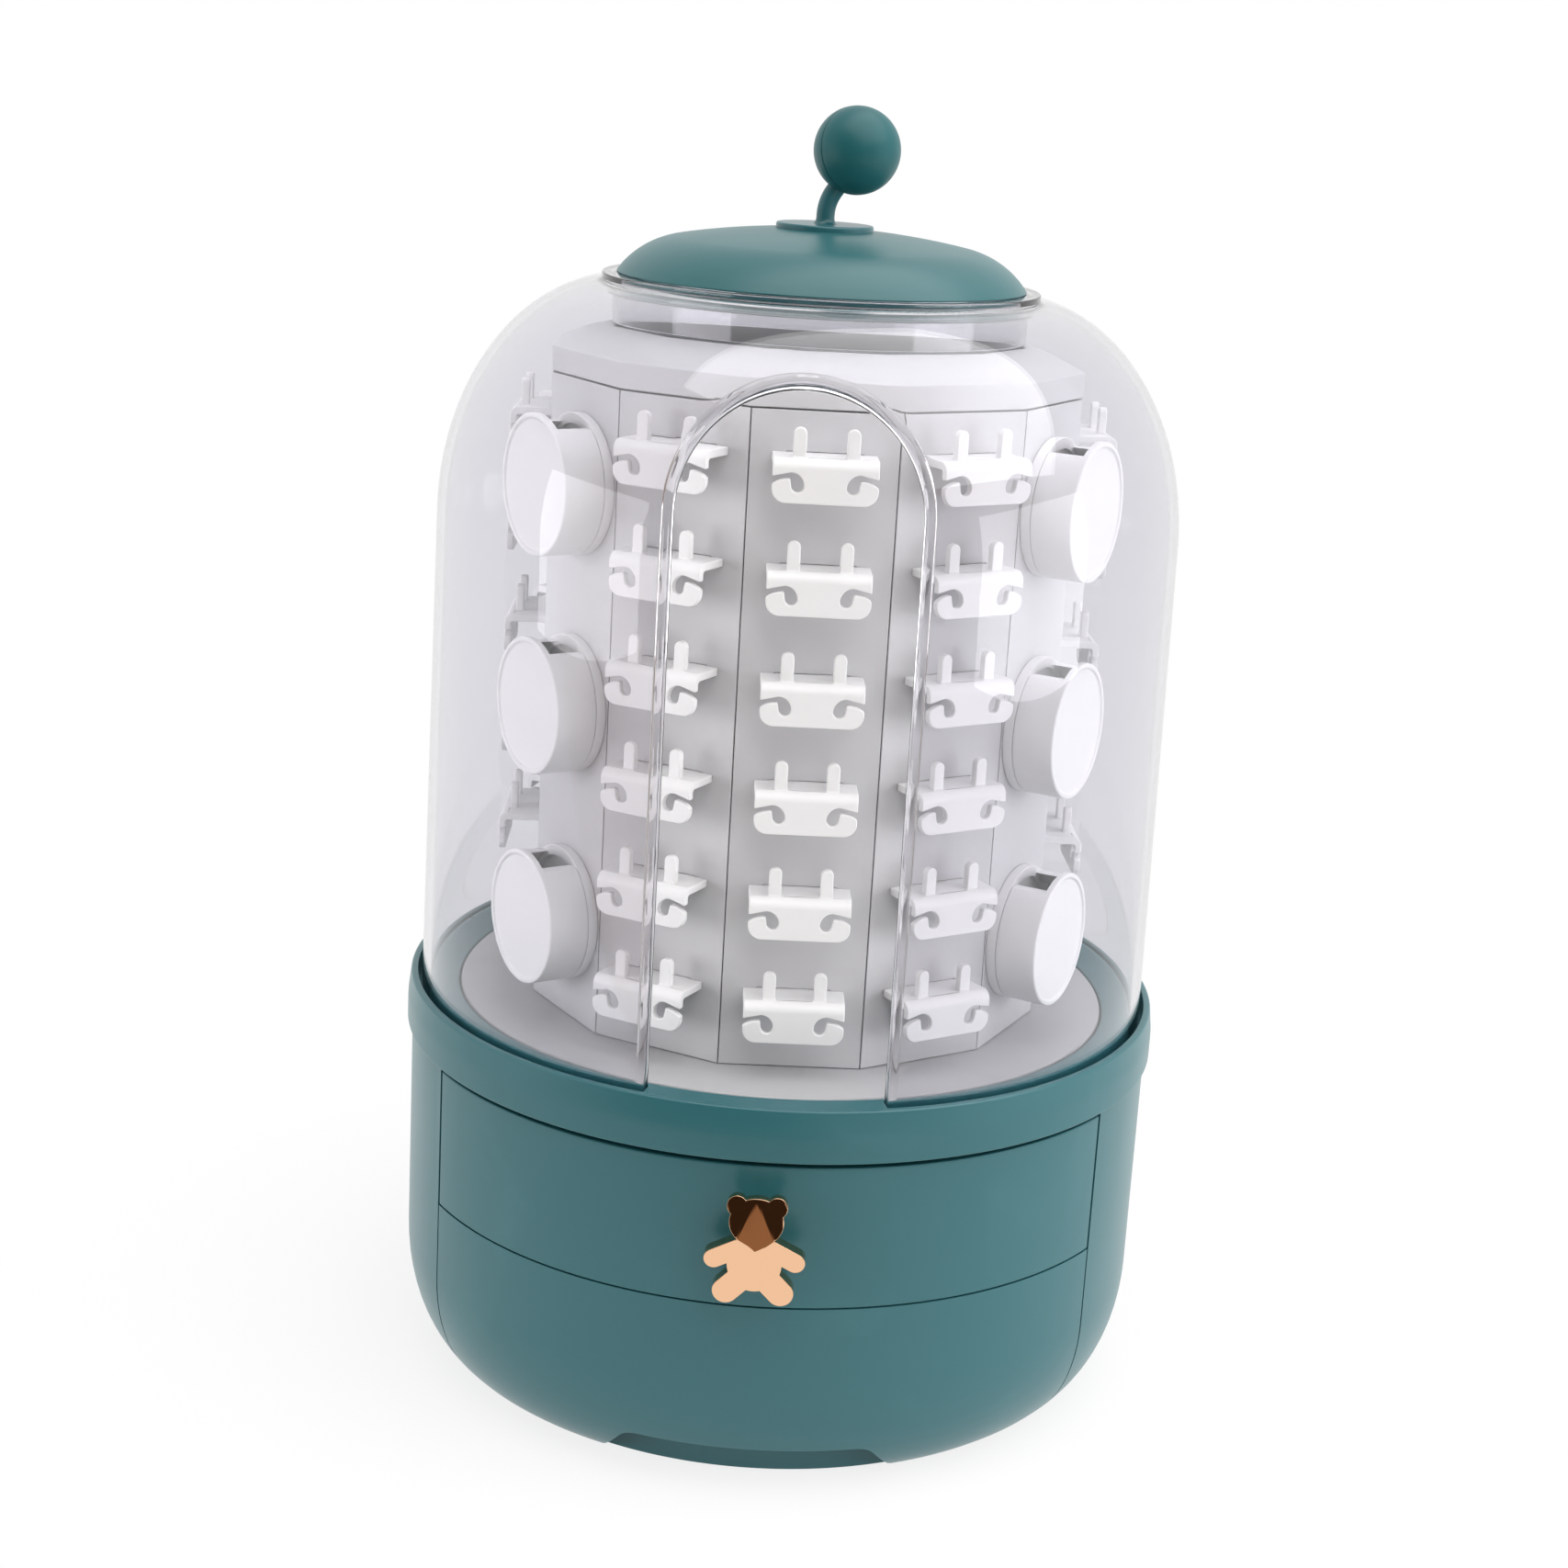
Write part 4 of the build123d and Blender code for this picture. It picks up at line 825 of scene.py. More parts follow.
def makeKnob():
    # the face of the head gets facets that lean back
    thing = copied("bearKnob", "bear_knob")
    form = bmesh.new()
    form.from_mesh(thing.data)
    flatFront(form)
    slopedBack(form)
    bmesh.ops.recalc_face_normals(form, faces=form.faces)
    form.to_mesh(thing.data)
    form.free()
    softenEdges(thing, knob["round"], 3)
    form = bmesh.new()
    form.from_mesh(thing.data)
    bmesh.ops.triangulate(form, faces=form.faces)
    fan, brow = knob["chinFan"], knob["browFan"]
    for level, across in (
        (knob["chin"], (1, 0, 0)),
        (knob["chin"], (-fan, 0, 1)),
        (knob["chin"], (fan, 0, 1)),
        (knob["brow"], (brow, 0, 1)),
        (knob["brow"], (-brow, 0, 1)),
    ):
        bmesh.ops.bisect_plane(
            form,
            geom=form.verts[:] + form.edges[:] + form.faces[:],
            plane_co=Vector((0, 0, level)) * mm,
            plane_no=across,
            dist=1e-7,
        )
    for v in form.verts:
        spot = v.co / mm
        if spot.y < knob["front"] + knob["faceDepth"] and overChin(spot) > 0:
            depth = knob["lean"] * overChin(spot) + knob["browLean"] * max(0, overBrow(spot))
            v.co.y += depth * mm
    form.to_mesh(thing.data)
    form.free()
    finishEdges(thing, crease=40, isFlat=isMirror)
    place(thing, "upper_drawer", roseGold, "rose_gold", "bear_knob")


makeKnob()
print("knob made")


screw = {
    "radius": 1.5,
    "head": 2.8,
    "headHeight": 1.6,
    "recess": 0.9,
    "crossLength": 0.62,  # share of the head's radius
    "crossHalf": 0.42,
    "front": (95.5, 20),  # radius and angle of the drawer fronts' screws
    "frontLevels": (72.525, 41.8),
    "knobLevel": 73.15,
    "ring": (79.8, 15, 97.5),  # aside, ahead or behind, and level
    "core": (58.45, 106.4),  # radius and level
    "coreTurn": 4,
    "spindle": (105.0, 1.5, 4.0),  # level, radius and head
    "handle": (304.85, 1.0, 2.0),
    "lengths": {
        "baseScrews": 3.3,
        "ringScrews": 9.0,
        "upperScrews": 4.1,
        "lowerScrews": 4.1,
        "knobScrew": 11.6,
        "coreScrews": 4.7,
        "spindleScrew": 8.0,
        "handleScrew": 5.2,
    },
    "seed": 7,
}


def screwForm(radius, length, head):
    # a pan head with a cross recess, its seat at the origin and its head upwards
    high, low = screw["headHeight"], -length
    outline = softened([(0, high), (head, high, 1.0), (head, 0, 0.15), (radius, 0)], 4)
    outline += softened([(radius, low + 0.3, 0.2), (radius - 0.4, low, 0.2), (0, low)])[:-1]
    thing = turned("screwForm", outline + [(0, low)], 28)
    long, thin = head * screw["crossLength"], screw["crossHalf"]
    for wide, deep in ((long, thin), (thin, long)):
        carve(thing, block(-wide, wide, -deep, deep, high - screw["recess"], high + 1))
    finishEdges(thing, crease=40)
    return thing


def screws(name, body, node, marks, radius=screw["radius"], head=screw["head"]):
    # marks are (place, axis) pairs, the axis from the shank to the head
    form = screwForm(radius, screw["lengths"][name], head)
    base = bpy.data.meshes.new(name)
    base.from_pydata([Vector(spot) * mm for spot, axis in marks], [], [])
    axes = base.attributes.new("axis", "FLOAT_VECTOR", "POINT")
    for item, (spot, axis) in zip(axes.data, marks):
        item.vector = axis
    values = {"Form": form, "Finish": screwSteel, "Seed": screw["seed"]}
    thing = runTree(name, screwSet, base, values)
    bpy.data.objects.remove(form)
    place(thing, body, screwSteel, "steel", node)


def inwardMarks(radius, level, *angles):
    turns = [radians(a) for a in angles]
    return [(wallSpot(radius, turn, level), (-sin(turn), cos(turn), 0)) for turn in turns]


up, down = (0, 0, 1), (0, 0, -1)
marks = [((x, y, tub["headHole"][2]), down) for x, y in tub["screwSpots"]]
screws("baseScrews", "base", "base_screws", marks)
aside, ahead, level = screw["ring"]
marks = [((x, y, level), up) for x in (-aside, aside) for y in (-ahead, ahead)]
screws("ringScrews", "base", "ring_screws", marks)
radius, angle = screw["front"]
for side, level in zip(("upper", "lower"), screw["frontLevels"]):
    marks = inwardMarks(radius, level, -angle, angle)
    screws(side + "Screws", side + "_drawer", side + "_drawer_screws", marks)
marks = inwardMarks(radius, screw["knobLevel"], 0)
screws("knobScrew", "upper_drawer", "knob_screw", marks)
radius, level = screw["core"]
turns = [radians(screw["coreTurn"] + 90 * k) for k in range(4)]
marks = [((radius * cos(turn), radius * sin(turn), level), up) for turn in turns]
screws("coreScrews", "carousel", "core_screws", marks)
level, *size = screw["spindle"]
screws("spindleScrew", "base", "spindle_screw", [((0, 0, level), up)], *size)
level, *size = screw["handle"]
screws("handleScrew", "lid", "handle_screw", [((0, 0, level), down)], *size)
print("screws made")


table = {"radius": 87.6, "bottom": 100.4, "top": 103.9, "edge": 0.6, "bore": 5.05}
corners = [
    (table["bore"], table["bottom"], 0.2),
    (table["radius"], table["bottom"], 0.3),
    (table["radius"], table["top"], table["edge"]),
    (table["bore"], table["top"], 0.3),
]
turnedPiece("turntable", corners, "carousel", discGrey, "white_plastic", "turntable_disc", 192)

for name, node, body, finish, slot in (
    ("spindle", "spindle", "base", screwSteel, "steel"),
    ("glideRing", "glide_ring", "base", waxyPlastic, "slide_plastic"),
    ("spindleWasher", "spindle_washer", "base", screwSteel, "steel"),
):
    thing = copied(name, node)
    finishEdges(thing, 0.15)
    place(thing, body, finish, slot, node)
print("turntable made")


drum = {
    "sides": 12,
    "turn": radians(4.0),
    "apothem": 67.0,
    "panelTop": 268.7,
    "hookDrop": 9.8,
    "hookPitch": 26.85,
    "hookRows": 6,
    "boxDrop": 25.2,
    "boxPitch": 55.75,
    "boxRows": 3,
    "boxEvery": 4,
    "boxSide": 2,  # counted from the front panel towards +X
}
boxNumbers = (3, 7, 11)
hookNumbers = [n for n in range(1, 13) if n not in boxNumbers]


def uprightForm(thing, number, level):
    # moves a copy of a piece from its panel to the origin, facing the front
    angle = drum["turn"] + tau * (number - 1) / drum["sides"]
    shift = Matrix.Translation((0, drum["apothem"] * mm, -level * mm))
    thing.data.transform(shift @ Matrix.Rotation(-angle, 4, "Z"))
    return thing


def loosePart(thing, pick):
    # keeps only the connected part whose highest point pick prefers
    form = bmesh.new()
    form.from_mesh(thing.data)
    left, parts = set(form.verts), []
    while left:
        part, edge = set(), [left.pop()]
        while edge:
            v = edge.pop()
            part.add(v)
            for e in v.link_edges:
                other = e.other_vert(v)
                if other in left:
                    left.remove(other)
                    edge.append(other)
        parts.append(part)
    kept = pick(parts, key=lambda part: max(v.co.z for v in part))
    spare = [v for part in parts if part is not kept for v in part]
    bmesh.ops.delete(form, geom=spare, context="VERTS")
    form.to_mesh(thing.data)
    form.free()
    return thing


def onDrum(name, form, finish, slot, nodes, boxSides, rows=1, first=0.0, pitch=0.0):
    base = bpy.data.meshes.new(name)
    values = {
        "Form": form,
        "Finish": finish,
        "Sides": drum["sides"],
        "Turn": drum["turn"],
        "Reach": drum["apothem"] * mm,
        "Rows": rows,
        "First Level": first * mm,
        "Row Pitch": pitch * mm,
        "Box Every": drum["boxEvery"],
        "Box Side": drum["boxSide"],
        "On Box Sides": boxSides,
    }
    thing = runTree(name, drumRows, base, values)
    bpy.data.objects.remove(form)
    place(thing, "carousel", finish, slot, *nodes)
    return thing


def makePanels():
    for name, number, numbers, boxSides in (
        ("hookPanels", 1, hookNumbers, False),
        ("boxPanels", 3, boxNumbers, True),
    ):
        form = uprightForm(copied("panelForm", f"panel_{number:02d}"), number, 0.0)
        finishEdges(form, 0.22)
        onDrum(name, form, drumGrey, "white_plastic", [f"panel_{n:02d}" for n in numbers], boxSides)


def makeHooks():
    level = drum["panelTop"] - drum["hookDrop"]
    form = loosePart(uprightForm(copied("hookForm", "hooks_01"), 1, level), max)
    finishEdges(form, 0.3)
    nodes = [f"hooks_{n:02d}" for n in hookNumbers]
    rows, pitch = drum["hookRows"], drum["hookPitch"]
    onDrum("hooks", form, hookWhite, "white_plastic", nodes, False, rows, level, pitch)


roundBox = {
    "radius": 17.5,
    "reach": 13.4,
    "wall": 1.6,
    "face": 1.6,
    "rim": (1.2, 0.6),
    "dish": 2.7,
    "dishFloor": 1.5,
    "spigot": (14.8, 15.8, 4.2),
    "seam": 0.1,
    "mouth": 14.5,  # the wall is open above this height over the middle
    "spigotMouth": 10.5,
    "stub": (4.0, -1.9),  # radius and depth of the peg in the panel
}


def laidOutwards(thing):
    # turns a piece made along +Z so that its axis runs to the front
    thing.data.transform(Matrix.Rotation(radians(90), 4, "X"))
    return thing


def makeBoxes():
    b = roundBox
    first = drum["panelTop"] - drum["boxDrop"]
    rows, pitch = drum["boxRows"], drum["boxPitch"]
    (inner, outer, end), (stub, depth) = b["spigot"], b["stub"]
    corners = [
        (0, depth),
        (stub, depth),
        (stub, 0),
        (b["radius"], 0, 0.5),
        (b["radius"], b["dish"], 0.3),
        (outer, b["dish"]),
        (outer, end, 0.2),
        (inner, end, 0.2),
        (inner, b["dishFloor"], 0.3),
        (0, b["dishFloor"]),
    ]
    dish = turned("dishForm", softened(corners), 96)
    carve(dish, block(-20, 20, b["spigotMouth"], 20, b["dish"] + 0.001, 8))
    finishEdges(laidOutwards(dish), 0.12)
    nodes = [f"box_backs_{n:02d}" for n in boxNumbers]
    onDrum("boxBacks", dish, hookWhite, "white_plastic", nodes, True, rows, first, pitch)
    start, face = b["dish"] + b["seam"], b["reach"] - b["face"]
    radius, reach, (rim, fall) = b["radius"], b["reach"], b["rim"]
    corners = [
        (radius - b["wall"], start, 0.2),
        (radius, start, 0.3),
        (radius, reach, 0.6),
        (radius - rim, reach, 0.3),
        (radius - rim - 0.3, reach - fall, 0.3),
        (0, reach - fall),
        (0, face),
        (radius - b["wall"], face, 0.4),
    ]
    cup = turned("cupForm", softened(corners), 96)
    carve(cup, block(-20, 20, b["mouth"], 20, start - 1, face - 0.001))
    finishEdges(laidOutwards(cup), 0.2)
    nodes = [f"box_cups_{n:02d}" for n in boxNumbers]
    onDrum("boxCups", cup, hookWhite, "white_plastic", nodes, True, rows, first, pitch)


makePanels()
makeHooks()
makeBoxes()
for name, node, edge in (("drumCap", "drum_cap", 0.45), ("drumCore", "drum_core", 0.3)):
    thing = copied(name, node)
    finishEdges(thing, edge, crease=40)
    place(thing, "carousel", drumGrey, "white_plastic", node)
print("drum made")


dome = {
    "foot": 99.7,
    "footRadius": 98.2,
    "radius": 96.8,
    "straightTop": 230.5,
    "wall": 2.2,
    "shoulder": (46.0, 62.0),
    "rimRadius": 56.4,
    "rimTop": 293.5,
    "collar": (54.5, 288.5),
    "tube": (53.2, 281.2),
    "bore": 51.6,
    "doorHalf": 29.4,
    "doorTop": 276.6,
    "beadFoot": 106.9,
    "columns": 216,
    "wallRows": 18,
    "shoulderRows": 28,
    "stretch": 55.0,  # mm along the wall for a radian of the shoulder
    "sideSteps": 26,
    "archSteps": 56,
    "clear": 1.4,  # no points of the wall this near the doorway's frame
    "doorReach": 1.2,  # radians either side of the front that hold the doorway
    "beadRise": 1.2,  # height over which the frame grows to its full section
}
# the doorway's rounded frame, from the wall outside to the wall inside: (beside the doorway, proud)
bead = ((2.35, 0), (2.2, 0.3), (1.85, 0.5), (1.1, 0.58), (0.45, 0.5), (0.12, 0.3), (0, -0.1))


def domeSpot(along, depth):
    # along runs up the wall, and depth goes in from the outer face
    rise = dome["straightTop"] - dome["foot"]
    if along <= rise:
        radius = dome["footRadius"] + (dome["radius"] - dome["footRadius"]) * along / rise
        return radius - depth, dome["foot"] + along
    lean = (along - rise) / dome["stretch"]
    wide, high = dome["shoulder"]
    radius = dome["radius"] - wide + (wide - depth) * cos(lean)
    return radius, dome["straightTop"] + (high - depth) * sin(lean)


def alongAt(level):
    rise = dome["straightTop"] - dome["foot"]
    if level <= dome["straightTop"]:
        return level - dome["foot"]
    return rise + dome["stretch"] * asin((level - dome["straightTop"]) / dome["shoulder"][1])


def doorLoop(beside):
    # the doorway's outline, drawn this far beside it, as places on the wall
    half = dome["doorHalf"] + beside
    spring = dome["doorTop"] - dome["doorHalf"]
    steps = dome["sideSteps"]
    straight = [dome["foot"] + (spring - dome["foot"]) * k / steps for k in range(steps)]
    turns = [pi * k / dome["archSteps"] for k in range(dome["archSteps"] + 1)]
    spots = [(-half, level) for level in straight]
    spots += [(-half * cos(turn), spring + half * sin(turn)) for turn in turns]
    spots += [(half, level) for level in reversed(straight)]
    placed = []
    for x, level in spots:
        along = alongAt(level)
        placed.append((asin(x / domeSpot(along, 0)[0]), along))
    return placed


def makeDome():
    across = dome["radius"]
    rise = dome["straightTop"] - dome["foot"]
    wide, high = dome["shoulder"]
    reach = (dome["rimRadius"] - dome["radius"] + wide) / wide
    end = rise + dome["stretch"] * (pi / 2 - asin(reach))
    levels = [rise * k / dome["wallRows"] for k in range(dome["wallRows"])]
    steps = dome["shoulderRows"]
    levels += [rise + (end - rise) * k / steps for k in range(steps + 1)]
    loop = doorLoop(bead[0][0])
    spring = dome["doorTop"] - dome["doorHalf"]

    def nearDoor(angle, along, beside):
        radius, level = domeSpot(along, 0)
        x, half = radius * sin(angle), dome["doorHalf"] + beside
        if abs(angle) > dome["doorReach"]:
            return False
        return abs(x) < half if level < spring else hypot(x, level - spring) < half

    spots = [Vector((angle * across, along)) for angle, along in loop]
    runs = [(k, k + 1) for k in range(len(loop) - 1)]
    for along in levels:
        for k in range(dome["columns"] + 1):
            angle = -pi + tau * k / dome["columns"]
            if not nearDoor(angle, along, bead[0][0] + dome["clear"]):
                spots.append(Vector((angle * across, along)))
    flat, _, cells, _, _, _ = delaunay_2d_cdt(spots, runs, [], 0, 1e-5)
    kept = []
    for cell in cells:
        middle = sum((flat[k] for k in cell), Vector((0, 0))) / len(cell)
        if not nearDoor(middle[0] / across, middle[1], bead[0][0] - 0.02):
            kept.append(cell)
    points, faces = [], []

    def addSpot(angle, along, depth):
        radius, level = domeSpot(along, depth)
        points.append(wallSpot(radius, angle, level))
        return len(points) - 1

    outer = [addSpot(spot[0] / across, spot[1], 0) for spot in flat]
    inner = [addSpot(spot[0] / across, spot[1], dome["wall"]) for spot in flat]
    sides = {}
    for cell in kept:
        faces.append([outer[k] for k in cell])
        faces.append([inner[k] for k in reversed(cell)])
        for a, b in zip(cell, cell[1:] + cell[:1]):
            sides[frozenset((a, b))] = sides.get(frozenset((a, b)), 0) + 1
    for side, uses in sides.items():  # the foot of the wall
        a, b = side
        if uses == 1 and flat[a][1] < 0.01 and flat[b][1] < 0.01:
            faces.append([outer[a], outer[b], inner[b], inner[a]])

    # the doorway's frame: strips from the outer face round the edge to the inner face
    strips = []
    for depthSide in (0, 1):
        for beside, proud in bead if not depthSide else bead[::-1]:
            row = []
            for angle, along in doorLoop(beside):
                level = domeSpot(along, 0)[1]
                rising = min(1.0, max(0.0, (level - dome["beadFoot"]) / dome["beadRise"]))
                depth = dome["wall"] + proud * rising if depthSide else -proud * rising
                row.append(addSpot(angle, along, depth))
            strips.append(row)
    for first, second in zip(strips, strips[1:]):
        for k in range(len(first) - 1):
            faces.append([first[k], first[k + 1], second[k + 1], second[k]])
    faces.append([row[0] for row in strips])
    faces.append([row[-1] for row in strips])

    # neck: from the outer face over the rim, down the bore and back to the inner face
    outerTop, innerTop = domeSpot(end, 0), domeSpot(end, dome["wall"])
    tubeRadius, tubeFoot = dome["tube"]
    collarRadius, collarFoot = dome["collar"]
    meet = (wide - dome["wall"], high - dome["wall"])
    offset = (collarRadius - dome["radius"] + wide) / meet[0]
    collarTop = dome["straightTop"] + meet[1] * sqrt(1 - offset**2)
    neck = [outerTop]
    neck += softened(
        [
            outerTop,
            (dome["rimRadius"], dome["rimTop"], 0.45),
            (dome["bore"], dome["rimTop"], 0.45),
            (dome["bore"], tubeFoot, 0.5),
            (tubeRadius, tubeFoot, 0.5),
            (tubeRadius, collarFoot, 0.3),
            (collarRadius, collarFoot, 0.4),
            (collarRadius, collarTop),
            innerTop,
        ]
    )[1:]
    angles = [-pi + tau * k / dome["columns"] for k in range(dome["columns"])]
    start = len(points)
    points += [wallSpot(radius, angle, level) for angle in angles for radius, level in neck]
    count = len(neck)
    for i in range(len(angles)):
        here, beyond = start + i * count, start + (i + 1) % len(angles) * count
        for j in range(count - 1):
            faces.append([here + j, here + j + 1, beyond + j + 1, beyond + j])
    thing = fromPoints("dome", points, faces)
    finishEdges(thing, crease=60)
    place(thing, "dome", clearDome, "clear_dome", "dome", "dome_shoulder", "dome_neck")


makeDome()
print("dome made")


lid = {
    "radius": 52.8,
    "bottom": 293.6,
    "top": 306.9,
    "wall": 2.0,
    "crown": 200.0,
    "crownReach": 38.0,
    "restRadius": 12.5,
    "restBottom": 306.5,
    "restTop": 308.0,
    "plugRadius": 50.7,
    "plugBottom": 288.6,
    "plugTop": 296.6,
    "plugWall": 3.4,
    "plugPlate": 1.5,
    "sealRadius": 51.35,
    "sealBottom": 290.3,
    "sealTop": 291.9,
    "sealSeat": 1.0,  # depth of the seal's groove
    "sealGap": 0.05,
    "plugTaper": 2.0,
}


def crownLine(inset, steps=14):
    # the lid's crown from its rim up to the middle
    lean = asin(lid["crownReach"] / lid["crown"])
    middle = lid["top"] - lid["crown"]
    flat = lid["crown"] - inset
    start = Vector((flat * sin(lean), middle + flat * cos(lean)))
    end = Vector((lid["radius"] - inset, lid["bottom"]))
    out = Vector((sin(lean), cos(lean)))
    reach = end - start
    radius = -reach.length_squared / (2 * reach.dot(out))
    centre = start - out * radius
    last = atan2(end.x - centre.x, end.y - centre.y)
    line = []
    for k in range(steps + 1):
        turn = last + (lean - last) * k / steps
        line.append((centre.x + radius * sin(turn), centre.y + radius * cos(turn)))
    for k in range(1, steps + 1):
        turn = lean * (1 - k / steps)
        line.append((flat * sin(turn), middle + flat * cos(turn)))
    return line


def makeLid():
    outside, inside = crownLine(0), crownLine(lid["wall"])
    radius, bottom = lid["radius"], lid["bottom"]
    rim = softened([(radius - lid["wall"], bottom), (radius, bottom, 0.5), outside[2]])
    outline = outside[2:-1] + [(0, lid["top"]), (0, lid["top"] - lid["wall"])]
    outline += inside[-2::-1] + rim[1:-1]
    shell = turned("lidShell", outline, 192)
    finishEdges(shell, crease=60)
    place(shell, "lid", lidGreen, "green_lid", "lid_shell")
    radius, foot, floor = lid["plugRadius"], lid["plugBottom"], lid["plugBottom"] + lid["plugPlate"]
    low, high, gap = lid["sealBottom"], lid["sealTop"], lid["sealGap"]
    inner, seat = radius - lid["plugWall"], radius - lid["sealSeat"]
    corners = [
        (0, foot),
        (radius, foot, 0.5),
        (radius, low - gap),
        (seat, low - gap),
        (seat, high + gap),
        (radius, high + gap),
        (radius, bottom),
        (radius - lid["plugTaper"], lid["plugTop"]),
        (inner, lid["plugTop"]),
        (inner, floor),
        (0, floor),
    ]
    turnedPiece("lidPlug", corners, "lid", innerGreen, "green_lid", "lid_plug")
    radius = lid["sealRadius"]
    corners = [(seat, low), (radius, low, 0.6), (radius, high, 0.6), (seat, high)]
    turnedPiece("lidSeal", corners, "lid", softSilicone, "soft_ring", "lid_seal")
    radius, low, high = lid["restRadius"], lid["restBottom"], lid["restTop"]
    corners = [(0, low), (radius, low), (radius, high, 0.6), (0, high)]
    turnedPiece("handleRest", corners, "lid", tubGreen, "green_lid", "handle_disc", 96)


stem = {
    "radius": 2.35,
    "bottom": 307.1,
    "flares": ((308.0, 0.75), (308.25, 0.4), (308.7, 0.15), (309.3, 0.0)),  # (level, swelling)
    "bend": 310.0,
    "bendRadius": 11.4,
    "bendAngle": 35.0,
    "bite": 4.5,
}
ball = {
    "radius": 11.1,
    "centre": (7.1, 0.0, 326.6),
    "gap": 0.15,
    "seamTurn": 36.0,
    "seamTilt": 9.0,
}


def makeHandle():
    s, turn = stem, radians(stem["bendAngle"])
    # path of (place, lean, radius)
    path = [((0, s["bottom"]), 0.0, s["radius"])]
    for level, flare in s["flares"]:
        path.append(((0, level), 0.0, s["radius"] + flare))
    for k in range(13):
        lean = turn * k / 12
        spot = (s["bendRadius"] * (1 - cos(lean)), s["bend"] + s["bendRadius"] * sin(lean))
        path.append((spot, lean, s["radius"]))
    (x, z), lean, radius = path[-1]
    path.append(((x + s["bite"] * sin(lean), z + s["bite"] * cos(lean)), lean, radius))
    sides = 40
    points, faces = [], []
    for (x, z), lean, radius in path:
        for k in range(sides):
            a = tau * k / sides
            out = radius * cos(a)
            points.append((x + out * cos(lean), radius * sin(a), z - out * sin(lean)))
    for i in range(len(path) - 1):
        for k in range(sides):
            j = (k + 1) % sides
            faces.append([i * sides + k, i * sides + j, (i + 1) * sides + j, (i + 1) * sides + k])
    faces += [list(range(sides)), [(len(path) - 1) * sides + k for k in range(sides)]]
    rodThing = fromPoints("handleStem", points, faces)
    finishEdges(rodThing)
    # the stem takes the tub's lighter green in place of the lid's: a painted lighter tone for the
    # light on the stem
    place(rodThing, "lid", tubGreen, "green_lid", "handle_stem")

    radius, low = ball["radius"], ball["gap"] / 2
    turnBy, tilt = radians(ball["seamTurn"]), radians(ball["seamTilt"])
    first = asin(low / radius)
    arc = [first + (pi / 2 - first) * k / 30 for k in range(31)]
    arc = [(radius * cos(a), radius * sin(a)) for a in arc[2:]]
    outline = [(0, low)] + softened([(0, low), (radius, low, 0.28), arc[0]])[1:-1]
    outline += arc[:-1] + [(0, radius)]
    facing = Vector((sin(turnBy) * cos(tilt), -cos(turnBy) * cos(tilt), sin(tilt)))
    for way, side in ((facing, "Front"), (-facing, "Back")):
        half = turned("ball" + side, outline, 96)
        lay = way.to_track_quat("Z", "Y").to_matrix().to_4x4()
        half.data.transform(Matrix.Translation(Vector(ball["centre"]) * mm) @ lay)
        finishEdges(half, crease=60)
        place(half, "lid", ballShadedGreen, "green_lid", "ball_" + side.lower())


makeLid()
makeHandle()
print("lid and handle made")


studio = {
    "floorTone": 0.92,
    "floorSide": 3.0,
    "floorFront": -0.33,
    "floorBack": 1.6,
    "floorBend": 0.8,
    "wallTop": 3.2,
    "tableLeft": 0.14,  # right of here the table runs on towards the camera
    "tableFront": -1.7,
    "nearShare": 0.82,  # how far the floor beside the object shows white instead of its shade
    "shade": (0.11, 0.22),  # distances from the axis over which that shade goes out
    "worldOnPart": 0.45,
    "darkLow": 0.30,  # the room behind the camera, at the floor and above it
    "darkHigh": 0.03,
    "darkTone": (1.0, 0.62, 0.38),
    "darkLevels": (-0.24, -0.12),
    "darkSide": (-0.85, -0.15),
    "aim": (0, 0, 0.17),
    "key": {"place": (0.38, -0.32, 1.26), "size": (1.86, 1.95), "power": 25.6},
    "left": {"place": (-0.95, -0.45, 0.24), "size": (0.7, 0.48), "power": 4.8},
    "right": {"place": (0.95, -0.30, 0.24), "size": (0.7, 0.48), "power": 4.9},
    "mirrored": ("key",),  # lamps that show in reflections
}


def seenShare(tree):
    # 1 for what the camera sees directly, by reflection or through the dome, 0 for the light itself
    rays = wire(tree, "ShaderNodeLightPath", {})
    seen = calculate(tree, "MAXIMUM", rays.outputs["Is Camera Ray"], rays.outputs["Is Glossy Ray"])
    return calculate(tree, "MAXIMUM", seen, rays.outputs["Is Transmission Ray"])


